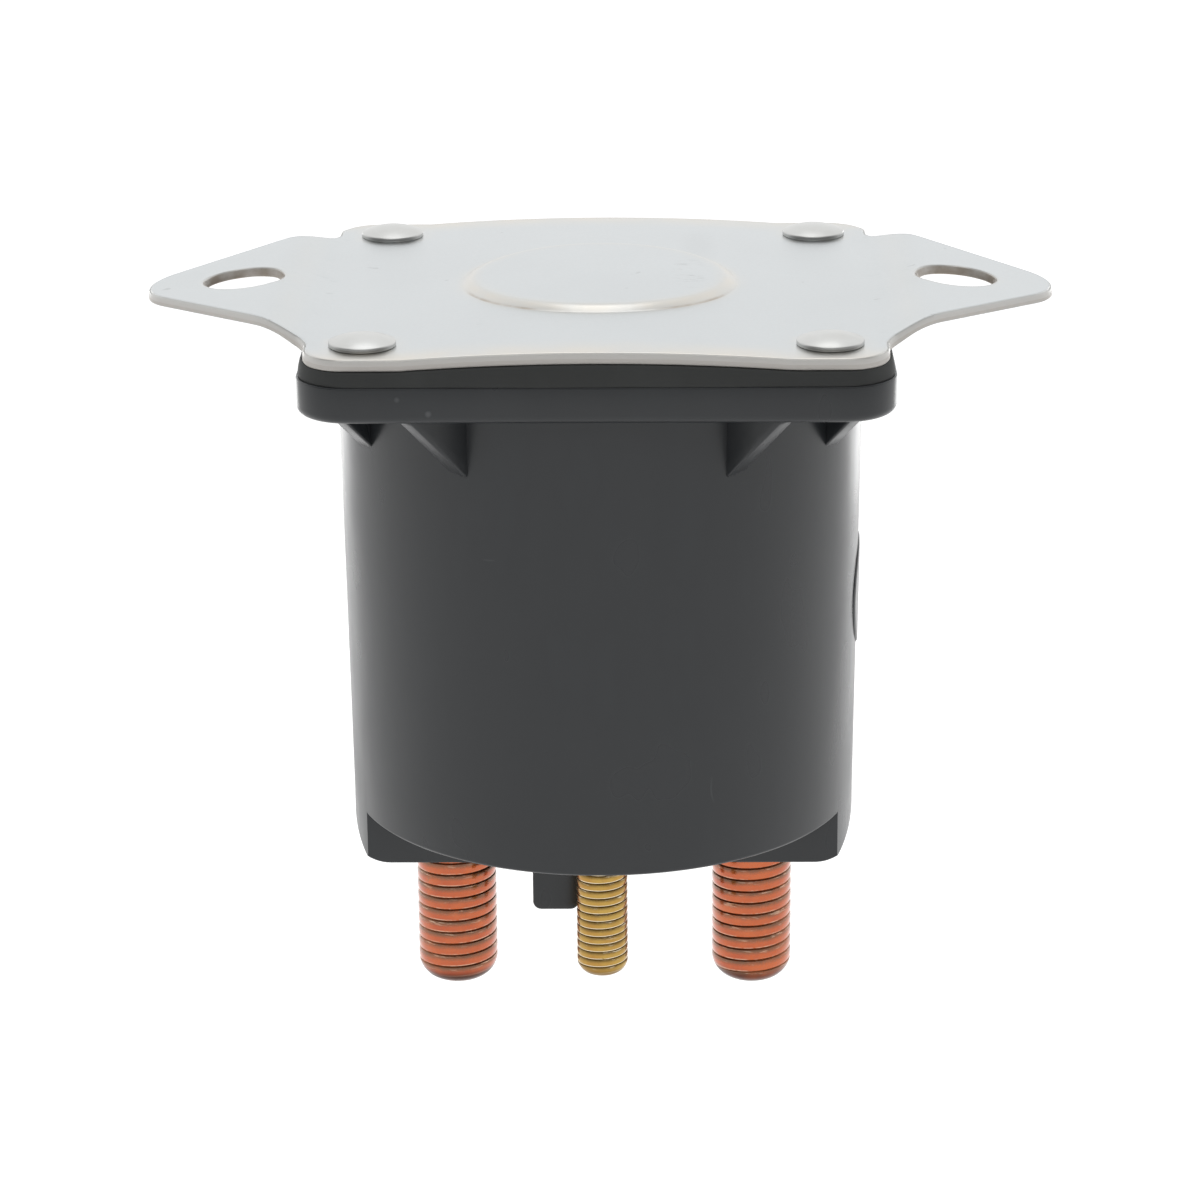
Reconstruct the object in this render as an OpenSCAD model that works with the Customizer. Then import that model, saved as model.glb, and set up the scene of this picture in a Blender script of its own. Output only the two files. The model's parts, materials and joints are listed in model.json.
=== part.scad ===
// Starter solenoid, studs down, hung from a two-eared steel bracket.
// Millimetres. The origin is midway between the ear holes, on top of the bracket.
// +X runs along the ears, +Z points up through the bracket.

/* [Bracket] */
// Thickness of the bracket sheet
sheet_t = 0.9; // [0.7:0.05:1.3]
// How far the bracket edge lies inside the flange edge
plate_inset = 0.7; // [0.3:0.1:1.5]
// Corner radius of the bracket plate
plate_corner_r = 4.0; // [2.5:0.5:6]
// How far the sides of the plate are drawn down
bow_drop = 0.9; // [0.2:0.1:1.1]
// Flat strip between the bowed middle and the rivet heads
bow_clear = 0.5; // [0.2:0.1:2]
// Distance of an ear hole from the flange edge
ear_overhang = 6.85; // [5.4:0.05:8.4]
// Radius of an ear hole
ear_hole_r = 3.7; // [3.0:0.1:4.5]
// Radius of the ear around its hole
ear_tip_r = 9.2; // [8:0.1:10]
// How far the ear starts in from the plate corner
ear_root_inset = 6.55; // [6:0.05:9]
// How much the ear narrows at its bend
ear_neck_step = 3.2; // [2:0.1:4]
// Length of the upward bend at the root of the ear
ear_bend_run = 4.15; // [2.5:0.05:4.5]
// Height of the bend above the middle of the plate
ear_lift = 0.5; // [0:0.1:0.5]
// Droop of the ear outside its bend, in degrees
ear_droop = 8; // [0:1:10]
// Radius of the fillet where the ear leaves the plate
ear_fillet_r = 3.0; // [1:0.5:3.5]
// Radius of the raised round pad at its foot
pad_r = 13.15; // [12:0.05:15]
// Radius of the flat top of the pad
pad_top_r = 11.8; // [9:0.1:11.9]
// Height of the pad
pad_h = 0.55; // [0.5:0.05:0.8]

/* [Rivets] */
// Distance of a rivet from the flange edge
rivet_inset = 6.05; // [5.5:0.05:6.8]
// Radius of the rivet head
rivet_head_r = 3.1; // [2.6:0.1:3.4]
// Height of the straight rim of the head
rivet_rim_h = 0.35; // [0.2:0.05:0.5]
// Height of the dome on the rim
rivet_dome_h = 0.75; // [0.4:0.05:0.9]
// Radius of the rivet shank
rivet_shank_r = 1.6; // [1.2:0.1:1.9]
// Radius of the closed tail under the flange
rivet_tail_r = 2.5; // [2.2:0.1:2.7]
// Thickness of the tail
rivet_tail_t = 0.8; // [0.5:0.1:1.2]

/* [Gasket] */
// Thickness of the gasket at the middle of the bracket
gasket_t = 2.5; // [2.3:0.1:3.5]
// How far the gasket edge lies inside the flange edge
gasket_inset = 0.4; // [0.2:0.1:1]
// Ring of free space between the gasket and the bore
gasket_relief = 0.2; // [0.1:0.1:0.6]

/* [Housing] */
// Side of the square flange
flange_side = 54.7; // [54.3:0.1:60]
// Corner radius of the flange
flange_corner_r = 5.0; // [4:0.5:7]
// Thickness of the flange
flange_h = 3.2; // [2:0.1:5]
// How far the body lies inside the flange edge
body_inset = 2.15; // [1.8:0.05:2.6]
// How much thinner the body is at its lower rim
body_draft = 0.4; // [0:0.1:0.8]
// Height from the flange top to the lower rim
housing_h = 48.5; // [45:0.1:60]
// Radius of the fillet on the lower rim
rim_fillet_r = 0.4; // [0.3:0.1:1.5]
// Wall between the body and the coil bore
housing_wall = 2.6; // [2.2:0.1:3]
// Width of the ledge that carries the pole piece
ledge_w = 0.9; // [0.7:0.1:1.2]
// Thickness of the floor over the lower rim
floor_t = 5.4; // [4.4:0.1:6.2]
// Depth of the spring pocket under the floor
pocket_depth = 7.0; // [6:0.1:7.5]
// Radius of the spring pocket
pocket_r = 5.0; // [4.5:0.1:5.6]
// Free space between the terminal slab and a control stud
slab_clear = 1.35; // [0.8:0.05:4]
// Height of the terminal slab
slab_h = 5.1; // [4.5:0.1:8]
// Radius of the slab's lower ends
slab_end_r = 4.0; // [1:0.5:4.5]
// Width of the barrier tab under the slab
tab_w = 4.5; // [2:0.1:4.8]
// Free space between the tab and the left main stud
tab_clear = 4.0; // [3:0.1:6]
// Height of the barrier tab
tab_h = 5.0; // [2:0.1:8]
// Corner radius of the barrier tab
tab_corner_r = 0.8; // [0.3:0.1:1.5]
// Thickness of a gusset
gusset_t = 2.0; // [1:0.1:3]
// Distance of a gusset from the corner diagonal
gusset_offset = 6.4; // [5.2:0.1:8]
// Drop of a gusset along the body
gusset_drop = 6.3; // [3:0.1:9]
// Radius of the plain round land on the side
land_r = 5.5; // [3:0.5:8]
// How far the land stands proud
land_h = 0.15; // [0.05:0.05:0.4]
// Height of the centre of the land over the lower rim
land_rise = 20.6; // [12:0.1:30]

/* [Terminals] */
// Distance of a main stud from the chamber wall
main_edge = 6.8; // [6.2:0.1:7.4]
// Radius of a main stud
main_stud_r = 4.0; // [3:0.1:4.5]
// Length of a main stud under the slab
main_stud_out = 16.1; // [10:0.1:25]
// Radius of the rounded end of a main stud
main_end_r = 2.4; // [1:0.1:2.8]
// How much thicker a stud is inside the housing than its thread
shank_step = 0.2; // [0.2:0.05:0.3]
// Side of the square head of a main stud
main_head_side = 11.4; // [10.5:0.1:12]
// Thickness of the head of a main stud
main_head_t = 3.0; // [2.5:0.1:4]
// Depth that the head is sunk into the floor
main_head_sink = 1.0; // [0.5:0.1:1.4]
// Distance of a control stud from the chamber wall
control_edge = 8.6; // [7.8:0.1:9.2]
// Radius of a control stud
control_stud_r = 2.5; // [2:0.1:2.8]
// Length of a control stud under the rim
control_stud_out = 14.9; // [8:0.1:20]
// Radius of the rounded end of a control stud
control_end_r = 1.5; // [0.5:0.1:1.8]
// Side of the square head of a control stud
control_head_side = 6.4; // [6:0.1:7]
// Thickness of the head of a control stud
control_head_t = 1.2; // [0.8:0.1:1.4]
// Section radius of a main stud seal
main_seal_r = 0.7; // [0.5:0.05:0.8]
// Section radius of a control stud seal
control_seal_r = 0.45; // [0.3:0.05:0.5]
// Thickness of a lead lug
lug_t = 0.5; // [0.3:0.1:0.8]
// Radius of the ring of a lead lug
lug_ring_r = 3.6; // [3.4:0.1:4.2]
// Width of the tail of a lead lug
lug_tail_w = 2.6; // [1.5:0.1:3]

/* [Coil] */
// Thickness of the pole piece flange
pole_flange_t = 2.6; // [1.5:0.1:4]
// Height of the pole core over its flange
pole_core_h = 7.35; // [4:0.05:9]
// Wall of the yoke can
yoke_wall = 1.7; // [1:0.1:2]
// Thickness of the flux plate
flux_t = 2.0; // [1:0.1:3]
// How far the flux plate stands over the flange
flux_proud = 0.4; // [0.1:0.1:0.8]
// Free space between the bobbin rim and the can
coil_gap = 0.6; // [0.3:0.1:1]
// Lip of the bobbin rims over the tape
bobbin_lip = 1.2; // [0.9:0.1:2]
// Thickness of the bobbin rims
bobbin_rim_t = 1.2; // [0.8:0.1:2]
// Wall of the bobbin tube
bobbin_wall = 1.0; // [0.6:0.1:1.5]
// Thickness of the tape over the winding
tape_t = 0.4; // [0.2:0.1:0.8]
// Length of winding that the tape leaves bare
tape_bare = 1.8; // [1.5:0.1:3]
// Radius of a coil lead
lead_r = 0.45; // [0.3:0.05:0.6]
// Free space between a lead and the can
lead_gap = 0.25; // [0.2:0.05:0.5]
// Wall of the guide sleeve
sleeve_wall = 0.4; // [0.2:0.1:0.8]
// Free space between the clamp ring and the coil bore
clamp_edge = 1.6; // [1.1:0.1:2.6]
// Width of the clamp ring
clamp_w = 3.5; // [2:0.1:6]

/* [Armature] */
// Radius of the plunger
plunger_r = 6.75; // [5.5:0.05:7.5]
// Radius of the stop bumper
bumper_r = 6.0; // [3:0.1:6.4]
// Thickness of the stop bumper
bumper_t = 1.2; // [0.8:0.1:1.6]
// Radius of the plunger rod
rod_r = 2.0; // [1.6:0.1:2.3]
// Depth that the rod goes into the plunger
rod_grip = 10.4; // [5:0.1:14]
// Length of rod below its clip
rod_tail = 2.5; // [1:0.1:3.5]
// Depth of the clip groove in the rod
groove_depth = 0.3; // [0.2:0.05:0.5]
// Radius of the retaining clip
clip_r = 3.9; // [3.6:0.1:4.2]
// Thickness of the retaining clip
clip_t = 0.8; // [0.5:0.1:1.2]
// Width of the mouth of the clip
clip_mouth = 2.6; // [2:0.1:3]
// Radius of the upper spring seat
seat_r = 6.0; // [5.4:0.1:7]
// Thickness of the upper spring seat
seat_t = 1.0; // [0.6:0.1:1.6]
// Free space between the seat and the pole piece
seat_clear = 1.5; // [0.5:0.1:3]

/* [Contacts] */
// Gap between the disc and the stud heads
contact_gap = 2.0; // [1.2:0.1:2.4]
// Further stroke of the plunger after the disc has landed
overtravel = 0.65; // [0.3:0.05:1]
// Thickness of the contact disc
disc_t = 1.8; // [1:0.1:3]
// Free space between the disc and the chamber wall
disc_gap = 3.7; // [3:0.1:5]
// Radius of the carrier bush flange
bush_flange_r = 6.0; // [5.2:0.1:7]
// Thickness of the carrier bush flange
bush_flange_t = 1.2; // [0.8:0.1:1.8]
// Wall of the carrier bush neck
bush_wall = 1.94; // [1:0.02:2]
// Radius of the washer on the disc
washer_r = 7.0; // [6:0.1:9]
// Thickness of the washer on the disc
washer_t = 1.0; // [0.6:0.1:1.6]

/* [Springs] */
// Length of the contact spring at rest
contact_spring_len = 4.2; // [4:0.1:6]
// Wire of the contact spring
contact_wire = 0.8; // [0.6:0.05:0.9]
// Mean radius of the contact spring
contact_mean_r = 4.6; // [4.2:0.1:4.9]
// Turns of the contact spring
contact_turns = 2.5; // [2:0.5:2.5]
// Wire of the return spring
return_wire = 0.7; // [0.5:0.05:0.8]
// Mean radius of the return spring
return_mean_r = 3.4; // [3.1:0.1:3.5]
// Turns of the return spring
return_turns = 5.5; // [3:0.5:6]

/* [Clearances] */
// Play round a stud, rivet or other fixed piece in its hole
fixed_play = 0.05; // [0.02:0.01:0.1]
// Running play round the plunger, the rod and the carrier
running_play = 0.08; // [0.03:0.01:0.1]
// Gap left between faces that meet at either end of the stroke
stop_gap = 0.05; // [0.02:0.01:0.1]
// Play of the yoke parts in the coil bore
bore_play = 0.3; // [0.1:0.05:0.5]
// Play of the coil between its flanges and the yoke parts
coil_play = 0.1; // [0.05:0.05:0.2]

/* [Hidden] */
$fn = 96;
// Length by which a cutting shape runs past what it cuts
overrun = 2.0;
bow_steps = 24;
spring_sides = 6;
rings_per_turn = 8;
corners = [[1, 1], [-1, 1], [-1, -1], [1, -1]];

// Bracket, seen from above
plate_half = flange_side / 2 - plate_inset;
ear_x = flange_side / 2 + ear_overhang;
ear_bend_x = plate_half + ear_bend_run;
ear_root_half = plate_half - ear_root_inset;
ear_neck_half = ear_root_half - ear_neck_step;
ear_reach = ear_x + ear_tip_r + overrun;
rivet_at = flange_side / 2 - rivet_inset;
bow_half = rivet_at - rivet_head_r - bow_clear;
pad_foot_z = -bow_drop * pow(pad_r / bow_half, 2);

// Heights of the outside, from the bracket down
flange_top = -(sheet_t + gasket_t);
flange_bottom = flange_top - flange_h;
rim_z = flange_top - housing_h;
slab_z = rim_z - slab_h;
tab_z = slab_z - tab_h;
main_tip_z = slab_z - main_stud_out;
control_tip_z = rim_z - control_stud_out;

// Radii, from the body in
body_top_r = flange_side / 2 - body_inset;
rim_r = body_top_r - body_draft;
bore_r = body_top_r - housing_wall;
chamber_r = bore_r - ledge_w;
yoke_out_r = bore_r - bore_play;
yoke_in_r = yoke_out_r - yoke_wall;
bobbin_rim_r = yoke_in_r - coil_gap;
tape_out_r = bobbin_rim_r - bobbin_lip;
winding_out_r = tape_out_r - tape_t;
lead_at = yoke_in_r - lead_gap - lead_r;
sleeve_in_r = plunger_r + running_play;
sleeve_out_r = sleeve_in_r + sleeve_wall;
bobbin_in_r = sleeve_out_r + fixed_play;
winding_in_r = bobbin_in_r + bobbin_wall + fixed_play;
disc_r = chamber_r - disc_gap;
bush_in_r = rod_r + running_play;
bush_out_r = bush_in_r + bush_wall;
clamp_out_r = bore_r - clamp_edge;

// Studs, seen from above
main_x = chamber_r - main_edge;
main_shank_r = main_stud_r + shank_step;
control_y = chamber_r - control_edge;
control_shank_r = control_stud_r + shank_step;
slab_half = control_y - control_stud_r - slab_clear;
tab_reach = main_x - main_stud_r - tab_clear;

// Heights of the contacts, from the floor up
floor_z = rim_z + floor_t;
pocket_z = floor_z - pocket_depth;
main_head_base = floor_z - main_head_sink;
main_head_top = main_head_base + main_head_t;
disc_base = main_head_top + contact_gap;
disc_top = disc_base + disc_t;
washer_top = disc_top + washer_t;
seat_base = washer_top + contact_spring_len;
seat_top = seat_base + seat_t;
bush_base = disc_base - bush_flange_t;
clip_base = bush_base - clip_t;
rod_end = clip_base - rod_tail;
lug_base = floor_z - lug_t;

// Heights of the magnet, from the chamber up
travel = contact_gap - stop_gap + overtravel;
ledge_z = seat_top + seat_clear;
pole_flange_top = ledge_z + pole_flange_t;
pole_top = pole_flange_top + pole_core_h;
plunger_base = pole_top + stop_gap + travel;
flux_top = flange_top + flux_proud;
yoke_top = flux_top - flux_t;
bobbin_base = pole_flange_top + coil_play;
bobbin_top = yoke_top - coil_play;
winding_base = bobbin_base + bobbin_rim_t + coil_play;
winding_top = bobbin_top - bobbin_rim_t - coil_play;
pad_ceiling = pad_h - sheet_t;
bumper_base = pad_ceiling - bumper_t;
plunger_top = bumper_base - stop_gap;
clamp_top = -(sheet_t + bow_drop) - stop_gap;

// Centre line of a compression spring, ring by ring
function spring_line(mean_r, base, length, wire, turns) =
    let (last = turns * rings_per_turn)
    [for (i = [0 : last]) [mean_r * cos(360 * i / rings_per_turn),
                           mean_r * sin(360 * i / rings_per_turn),
                           base + wire / 2 + (length - wire) * i / last]];

// Points of the wire round that centre line
function spring_points(line, mean_r, wire) =
    let (rise = (line[1][2] - line[0][2]) * rings_per_turn,
         lean = atan2(rise, 2 * PI * mean_r))
    [for (i = [0 : len(line) - 1], k = [0 : spring_sides - 1])
        let (turn = 360 * i / rings_per_turn,
             side = 360 * k / spring_sides,
             out = [cos(turn), sin(turn), 0],
             across = [sin(turn) * sin(lean), -cos(turn) * sin(lean), cos(lean)])
        line[i] + wire / 2 * (cos(side) * out + sin(side) * across)];

// Triangles that close a tube of so many rings
function tube_faces(rings) =
    concat(
        [for (i = [0 : rings - 2], k = [0 : spring_sides - 1])
            let (a = i * spring_sides + k, b = i * spring_sides + (k + 1) % spring_sides)
            [a, b, a + spring_sides]],
        [for (i = [0 : rings - 2], k = [0 : spring_sides - 1])
            let (a = i * spring_sides + k, b = i * spring_sides + (k + 1) % spring_sides)
            [b, b + spring_sides, a + spring_sides]],
        [for (k = [1 : spring_sides - 2]) [0, k + 1, k]],
        [for (k = [1 : spring_sides - 2])
            let (first = (rings - 1) * spring_sides)
            [first, first + k, first + k + 1]]);

// Least space between one turn of wire and the next
function least_gap(line, wire) =
    min([for (i = [0 : len(line) - 1], j = [0 : len(line) - 1])
        if (j - i > rings_per_turn / 2) norm(line[j] - line[i])]) - wire;

// Height of the top of the bracket sheet at a distance from the centre plane
function sheet_top(x) =
    let (a = abs(x))
    a <= bow_half ? -bow_drop * pow(a / bow_half, 2)
    : a <= plate_half ? -bow_drop
    : a <= ear_bend_x ? -bow_drop + (ear_lift + bow_drop) * (a - plate_half) / ear_bend_run
    : ear_lift - (a - ear_bend_x) * tan(ear_droop);

sheet_half_x = concat([for (i = [0 : bow_steps]) bow_half * i / bow_steps],
                      [plate_half, ear_bend_x, ear_reach]);
sheet_x = concat([for (i = [len(sheet_half_x) - 1 : -1 : 1]) -sheet_half_x[i]], sheet_half_x);

// Where a line from a point touches a circle
function touch_point(point, centre, radius) =
    let (away = point - centre,
         start = atan2(away[1], away[0]),
         swing = acos(radius / norm(away)))
    centre + radius * [cos(start - swing), sin(start - swing)];

// Square with round corners, centred
module round_square(side, corner_r) {
    square([side, side - 2 * corner_r], center = true);
    square([side - 2 * corner_r, side], center = true);
    for (c = corners)
        translate(c * (side / 2 - corner_r))
            circle(r = corner_r);
}

// Ring between two heights
module ring(outer_r, inner_r, base, top) {
    difference() {
        translate([0, 0, base])
            cylinder(r = outer_r, h = top - base);
        translate([0, 0, base - overrun])
            cylinder(r = inner_r, h = top - base + 2 * overrun);
    }
}

// Upright cylinder between two heights
module post(radius, base, top) {
    translate([0, 0, base])
        cylinder(r = radius, h = top - base);
}

// Everything above one height that lies under a curve of the bracket sheet
module under_sheet(depth, base) {
    rotate([90, 0, 0])
        linear_extrude(height = flange_side + 2 * overrun, center = true)
            polygon(concat([for (x = sheet_x) [x, sheet_top(x) - depth]],
                           [[ear_reach, base], [-ear_reach, base]]));
}

// Bracket sheet, bent but not yet cut to its outline
module bent_sheet() {
    rotate([90, 0, 0])
        linear_extrude(height = flange_side + 2 * overrun, center = true)
            polygon(concat([for (x = sheet_x) [x, sheet_top(x)]],
                           [for (i = [len(sheet_x) - 1 : -1 : 0])
                               [sheet_x[i], sheet_top(sheet_x[i]) - sheet_t]]));
}

// Outline of one half of an ear, with the fillet at its root
module half_ear() {
    root = [plate_half, ear_root_half];
    neck = [ear_bend_x, ear_neck_half];
    edge = (neck - root) / norm(neck - root);
    normal = [-edge[1], edge[0]];
    rise = ear_fillet_r * (1 - normal[0]) / normal[1];
    centre = root + [ear_fillet_r, rise];
    polygon([[plate_half - plate_corner_r, 0], [plate_half - plate_corner_r, ear_root_half],
             root, neck, touch_point(neck, [ear_x, 0], ear_tip_r), [ear_x, 0]]);
    difference() {
        polygon([root, [plate_half, centre[1]], centre, centre - ear_fillet_r * normal]);
        translate(centre)
            circle(r = ear_fillet_r);
    }
}

// Outline of the bracket, seen from above
module bracket_outline() {
    round_square(2 * plate_half, plate_corner_r);
    for (side = [0, 1])
        mirror([side, 0]) {
            half_ear();
            mirror([0, 1])
                half_ear();
            translate([ear_x, 0])
                circle(r = ear_tip_r);
        }
}

// Raised pad with sloping sides
module pad(foot_r, top_r, base, foot, top) {
    rotate_extrude()
        polygon([[0, base], [foot_r, base], [foot_r, foot], [top_r, top], [0, top]]);
}

// Round pin that points down, with a rounded end
module round_ended_pin(radius, end_r, top, tip) {
    rotate_extrude() {
        translate([0, tip + end_r])
            square([radius, top - tip - end_r]);
        translate([0, tip])
            square([radius - end_r, end_r]);
        translate([radius - end_r, tip + end_r])
            intersection() {
                circle(r = end_r);
                translate([0, -end_r])
                    square([end_r, end_r]);
            }
    }
}

// Disc with a rounded lower edge
module round_footed_disc(radius, foot_r, base, top) {
    rotate_extrude() {
        translate([0, base + foot_r])
            square([radius, top - base - foot_r]);
        translate([0, base])
            square([radius - foot_r, foot_r]);
        translate([radius - foot_r, base + foot_r])
            intersection() {
                circle(r = foot_r);
                translate([0, -foot_r])
                    square([foot_r, foot_r]);
            }
    }
}

// Tapered body from the flange to the rim
module body_shell(extra) {
    translate([0, 0, rim_z + rim_fillet_r])
        cylinder(r1 = rim_r + extra, r2 = body_top_r + extra, h = housing_h - rim_fillet_r);
}

// One triangular web between the flange and the body
module gusset(side) {
    root = sqrt(pow(body_top_r, 2) - pow(gusset_offset, 2));
    translate([0, side * gusset_offset, 0])
        rotate([90, 0, 0])
            linear_extrude(height = gusset_t, center = true)
                polygon([[root - housing_wall, flange_bottom], [root + gusset_drop, flange_bottom],
                         [root - body_draft, flange_bottom - gusset_drop - body_draft],
                         [root - housing_wall, flange_bottom - gusset_drop - body_draft]]);
}

// Outline of a lead lug, with a margin for its pocket
module lug_outline(margin) {
    translate([0, control_y])
        circle(r = lug_ring_r + margin);
    translate([-lug_tail_w / 2 - margin, control_y])
        square([lug_tail_w + 2 * margin, lead_at + 2 * lead_r - control_y + margin]);
}

module housing() {
    color("#3d4042")
    difference() {
        union() {
            translate([0, 0, flange_bottom])
                linear_extrude(height = flange_h)
                    round_square(flange_side, flange_corner_r);
            body_shell(0);
            round_footed_disc(rim_r, rim_fillet_r, rim_z, rim_z + floor_t);
            for (turn = [45 : 90 : 315], side = [-1, 1])
                rotate([0, 0, turn])
                    gusset(side);
            intersection() {
                post(rim_r, slab_z - overrun, rim_z + floor_t);
                round_footed_bar(-rim_r, rim_r, slab_end_r, slab_z, rim_z + floor_t);
            }
            round_footed_bar(-tab_reach, tab_w - tab_reach, tab_corner_r, tab_z, rim_z);
            intersection() {
                body_shell(land_h);
                translate([0, 0, rim_z + land_rise])
                    rotate([0, 90, 0])
                        cylinder(r = land_r, h = body_top_r + overrun);
            }
        }
        post(bore_r, ledge_z, flange_top + overrun);
        post(chamber_r, floor_z, ledge_z + overrun);
        post(pocket_r, pocket_z, floor_z + overrun);
        for (side = [-1, 1]) {
            translate([side * main_x, 0, 0])
                stud_hole(main_shank_r, main_seal_r, main_head_base, slab_z);
            translate([0, side * control_y, 0])
                stud_hole(control_shank_r, control_seal_r, lug_base, rim_z);
            translate([0, 0, main_head_base])
                linear_extrude(height = main_head_sink + overrun)
                    main_head_outline(side, fixed_play);
            mirror([0, side > 0 ? 0 : 1, 0])
                translate([0, 0, lug_base])
                    linear_extrude(height = lug_t + overrun)
                        lug_outline(fixed_play);
        }
        for (c = corners)
            translate(c * rivet_at)
                post(rivet_shank_r + fixed_play, flange_bottom - overrun, flange_top + overrun);
    }
}

// Hole for the shank of a stud, with the seat of its seal
module stud_hole(shank_r, seal_r, seal_top, base) {
    post(shank_r + fixed_play, base - overrun, floor_z + overrun);
    post(shank_r + 2 * seal_r + fixed_play, seal_top - 2 * seal_r, floor_z);
}

// Bar as deep as the slab, with round lower corners, for the slab and the barrier tab
module round_footed_bar(left, right, corner_r, base, top) {
    rotate([90, 0, 0])
        linear_extrude(height = 2 * slab_half, center = true) {
            translate([left, base + corner_r])
                square([right - left, top - base - corner_r]);
            translate([left + corner_r, base])
                square([right - left - 2 * corner_r, top - base]);
            for (x = [left + corner_r, right - corner_r])
                translate([x, base + corner_r])
                    circle(r = corner_r);
        }
}

module mounting_bracket() {
    pad_wall_r = pad_r - sheet_t;
    color("#d4d9db")
    difference() {
        union() {
            intersection() {
                bent_sheet();
                translate([0, 0, -flange_side / 2])
                    linear_extrude(height = flange_side)
                        bracket_outline();
            }
            pad(pad_r, pad_top_r, pad_foot_z - sheet_t / 2, pad_foot_z / 2, pad_h);
        }
        pad(pad_wall_r, pad_wall_r + pad_top_r - pad_r, pad_foot_z - sheet_t - overrun,
            pad_foot_z - sheet_t / 2, pad_ceiling);
        for (c = corners)
            translate(c * rivet_at)
                post(rivet_shank_r + fixed_play, -flange_side / 2, flange_side / 2);
        for (side = [-1, 1])
            translate([side * ear_x, 0, 0])
                post(ear_hole_r, -flange_side / 2, flange_side / 2);
    }
}

module flange_gasket() {
    color("#26282a")
    difference() {
        intersection() {
            under_sheet(sheet_t, flange_top);
            translate([0, 0, flange_top])
                linear_extrude(height = gasket_t)
                    round_square(flange_side - 2 * gasket_inset, flange_corner_r);
        }
        post(bore_r + gasket_relief, flange_top - overrun, overrun);
        for (c = corners)
            translate(c * rivet_at)
                post(rivet_shank_r + fixed_play, flange_top - overrun, overrun);
    }
}

// One closed rivet, head on the bracket and tail under the flange
module rivet() {
    dome_r = rivet_head_r - rivet_rim_h / 2;
    ball_r = (pow(dome_r, 2) + pow(rivet_dome_h, 2)) / (2 * rivet_dome_h);
    post(rivet_shank_r, flange_bottom - rivet_tail_t, -bow_drop);
    post(rivet_tail_r, flange_bottom - rivet_tail_t, flange_bottom);
    post(rivet_head_r, -bow_drop, rivet_rim_h - bow_drop);
    intersection() {
        translate([0, 0, rivet_rim_h + rivet_dome_h - bow_drop - ball_r])
            sphere(r = ball_r);
        post(rivet_head_r, -bow_drop, rivet_rim_h + 2 * rivet_dome_h - bow_drop);
    }
}

module bracket_rivets() {
    color("#dfe2e2")
    for (c = corners)
        translate(c * rivet_at)
            rivet();
}

// Outline of the head of a main stud, kept inside the chamber
module main_head_outline(side, margin) {
    intersection() {
        translate([side * main_x, 0])
            square(main_head_side + 2 * margin, center = true);
        circle(r = chamber_r - fixed_play + margin);
    }
}

module main_stud(side) {
    color("#b8653a") {
        translate([side * main_x, 0, 0]) {
            post(main_shank_r, slab_z, main_head_top - main_head_t / 2);
            round_ended_pin(main_stud_r, main_end_r, main_head_base, main_tip_z);
        }
        translate([0, 0, main_head_base])
            linear_extrude(height = main_head_t)
                main_head_outline(side, 0);
    }
}

module main_stud_left() {
    main_stud(-1);
}

module main_stud_right() {
    main_stud(1);
}

module control_stud(side) {
    color("#c8a24e")
    translate([0, side * control_y, 0]) {
        post(control_shank_r, rim_z, floor_z + control_head_t / 2);
        round_ended_pin(control_stud_r, control_end_r, floor_z, control_tip_z);
        translate([-control_head_side / 2, -control_head_side / 2, floor_z])
            cube([control_head_side, control_head_side, control_head_t]);
    }
}

module control_stud_front() {
    control_stud(-1);
}

module control_stud_rear() {
    control_stud(1);
}

// Round seal under the head of a stud
module seal(section_r, shank_r, top) {
    translate([0, 0, top - section_r])
        rotate_extrude()
            translate([shank_r + section_r, 0])
                circle(r = section_r - fixed_play);
}

module main_stud_seals() {
    color("#1d1d1d")
    for (side = [-1, 1])
        translate([side * main_x, 0, 0])
            seal(main_seal_r, main_shank_r, main_head_base);
}

module control_stud_seals() {
    color("#1d1d1d")
    for (side = [-1, 1])
        translate([0, side * control_y, 0])
            seal(control_seal_r, control_shank_r, lug_base);
}

module lead_lugs() {
    color("#c9b06a")
    for (side = [0, 1])
        mirror([0, side, 0])
            difference() {
                translate([0, 0, lug_base])
                    linear_extrude(height = lug_t)
                        lug_outline(0);
                translate([0, control_y, 0])
                    post(control_shank_r + fixed_play, lug_base - overrun, floor_z + overrun);
            }
}

// Wire from the winding, over the bobbin rim and down to a lug
module coil_lead(side) {
    bend_z = winding_base + 2 * lead_r;
    color("#a8552c")
    translate([0, side * lead_at, 0]) {
        post(lead_r, floor_z, bend_z);
        translate([0, 0, bend_z]) {
            sphere(r = lead_r);
            rotate([side * 90, 0, 0])
                cylinder(r = lead_r, h = lead_at - winding_out_r - fixed_play);
        }
    }
}

module coil_lead_front() {
    coil_lead(-1);
}

module coil_lead_rear() {
    coil_lead(1);
}

module bobbin() {
    color("#ece7da")
    difference() {
        union() {
            ring(bobbin_in_r + bobbin_wall, bobbin_in_r, bobbin_base, bobbin_top);
            ring(bobbin_rim_r, bobbin_in_r, bobbin_base, bobbin_base + bobbin_rim_t);
            ring(bobbin_rim_r, bobbin_in_r, bobbin_top - bobbin_rim_t, bobbin_top);
        }
        for (side = [-1, 1])
            translate([0, side * lead_at, 0])
                post(lead_r + lead_gap, bobbin_base - overrun, winding_base + lead_r);
    }
}

module coil_winding() {
    color("#9c4a22")
    ring(winding_out_r, winding_in_r, winding_base, winding_top);
}

module coil_tape() {
    color("#c9a227")
    ring(tape_out_r, winding_out_r, winding_base + tape_bare, winding_top);
}

module yoke_can() {
    color("#8d9194")
    ring(yoke_out_r, yoke_in_r, pole_flange_top, yoke_top);
}

module flux_plate() {
    color("#8d9194")
    ring(yoke_out_r, sleeve_out_r + fixed_play, yoke_top, flux_top);
}

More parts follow.
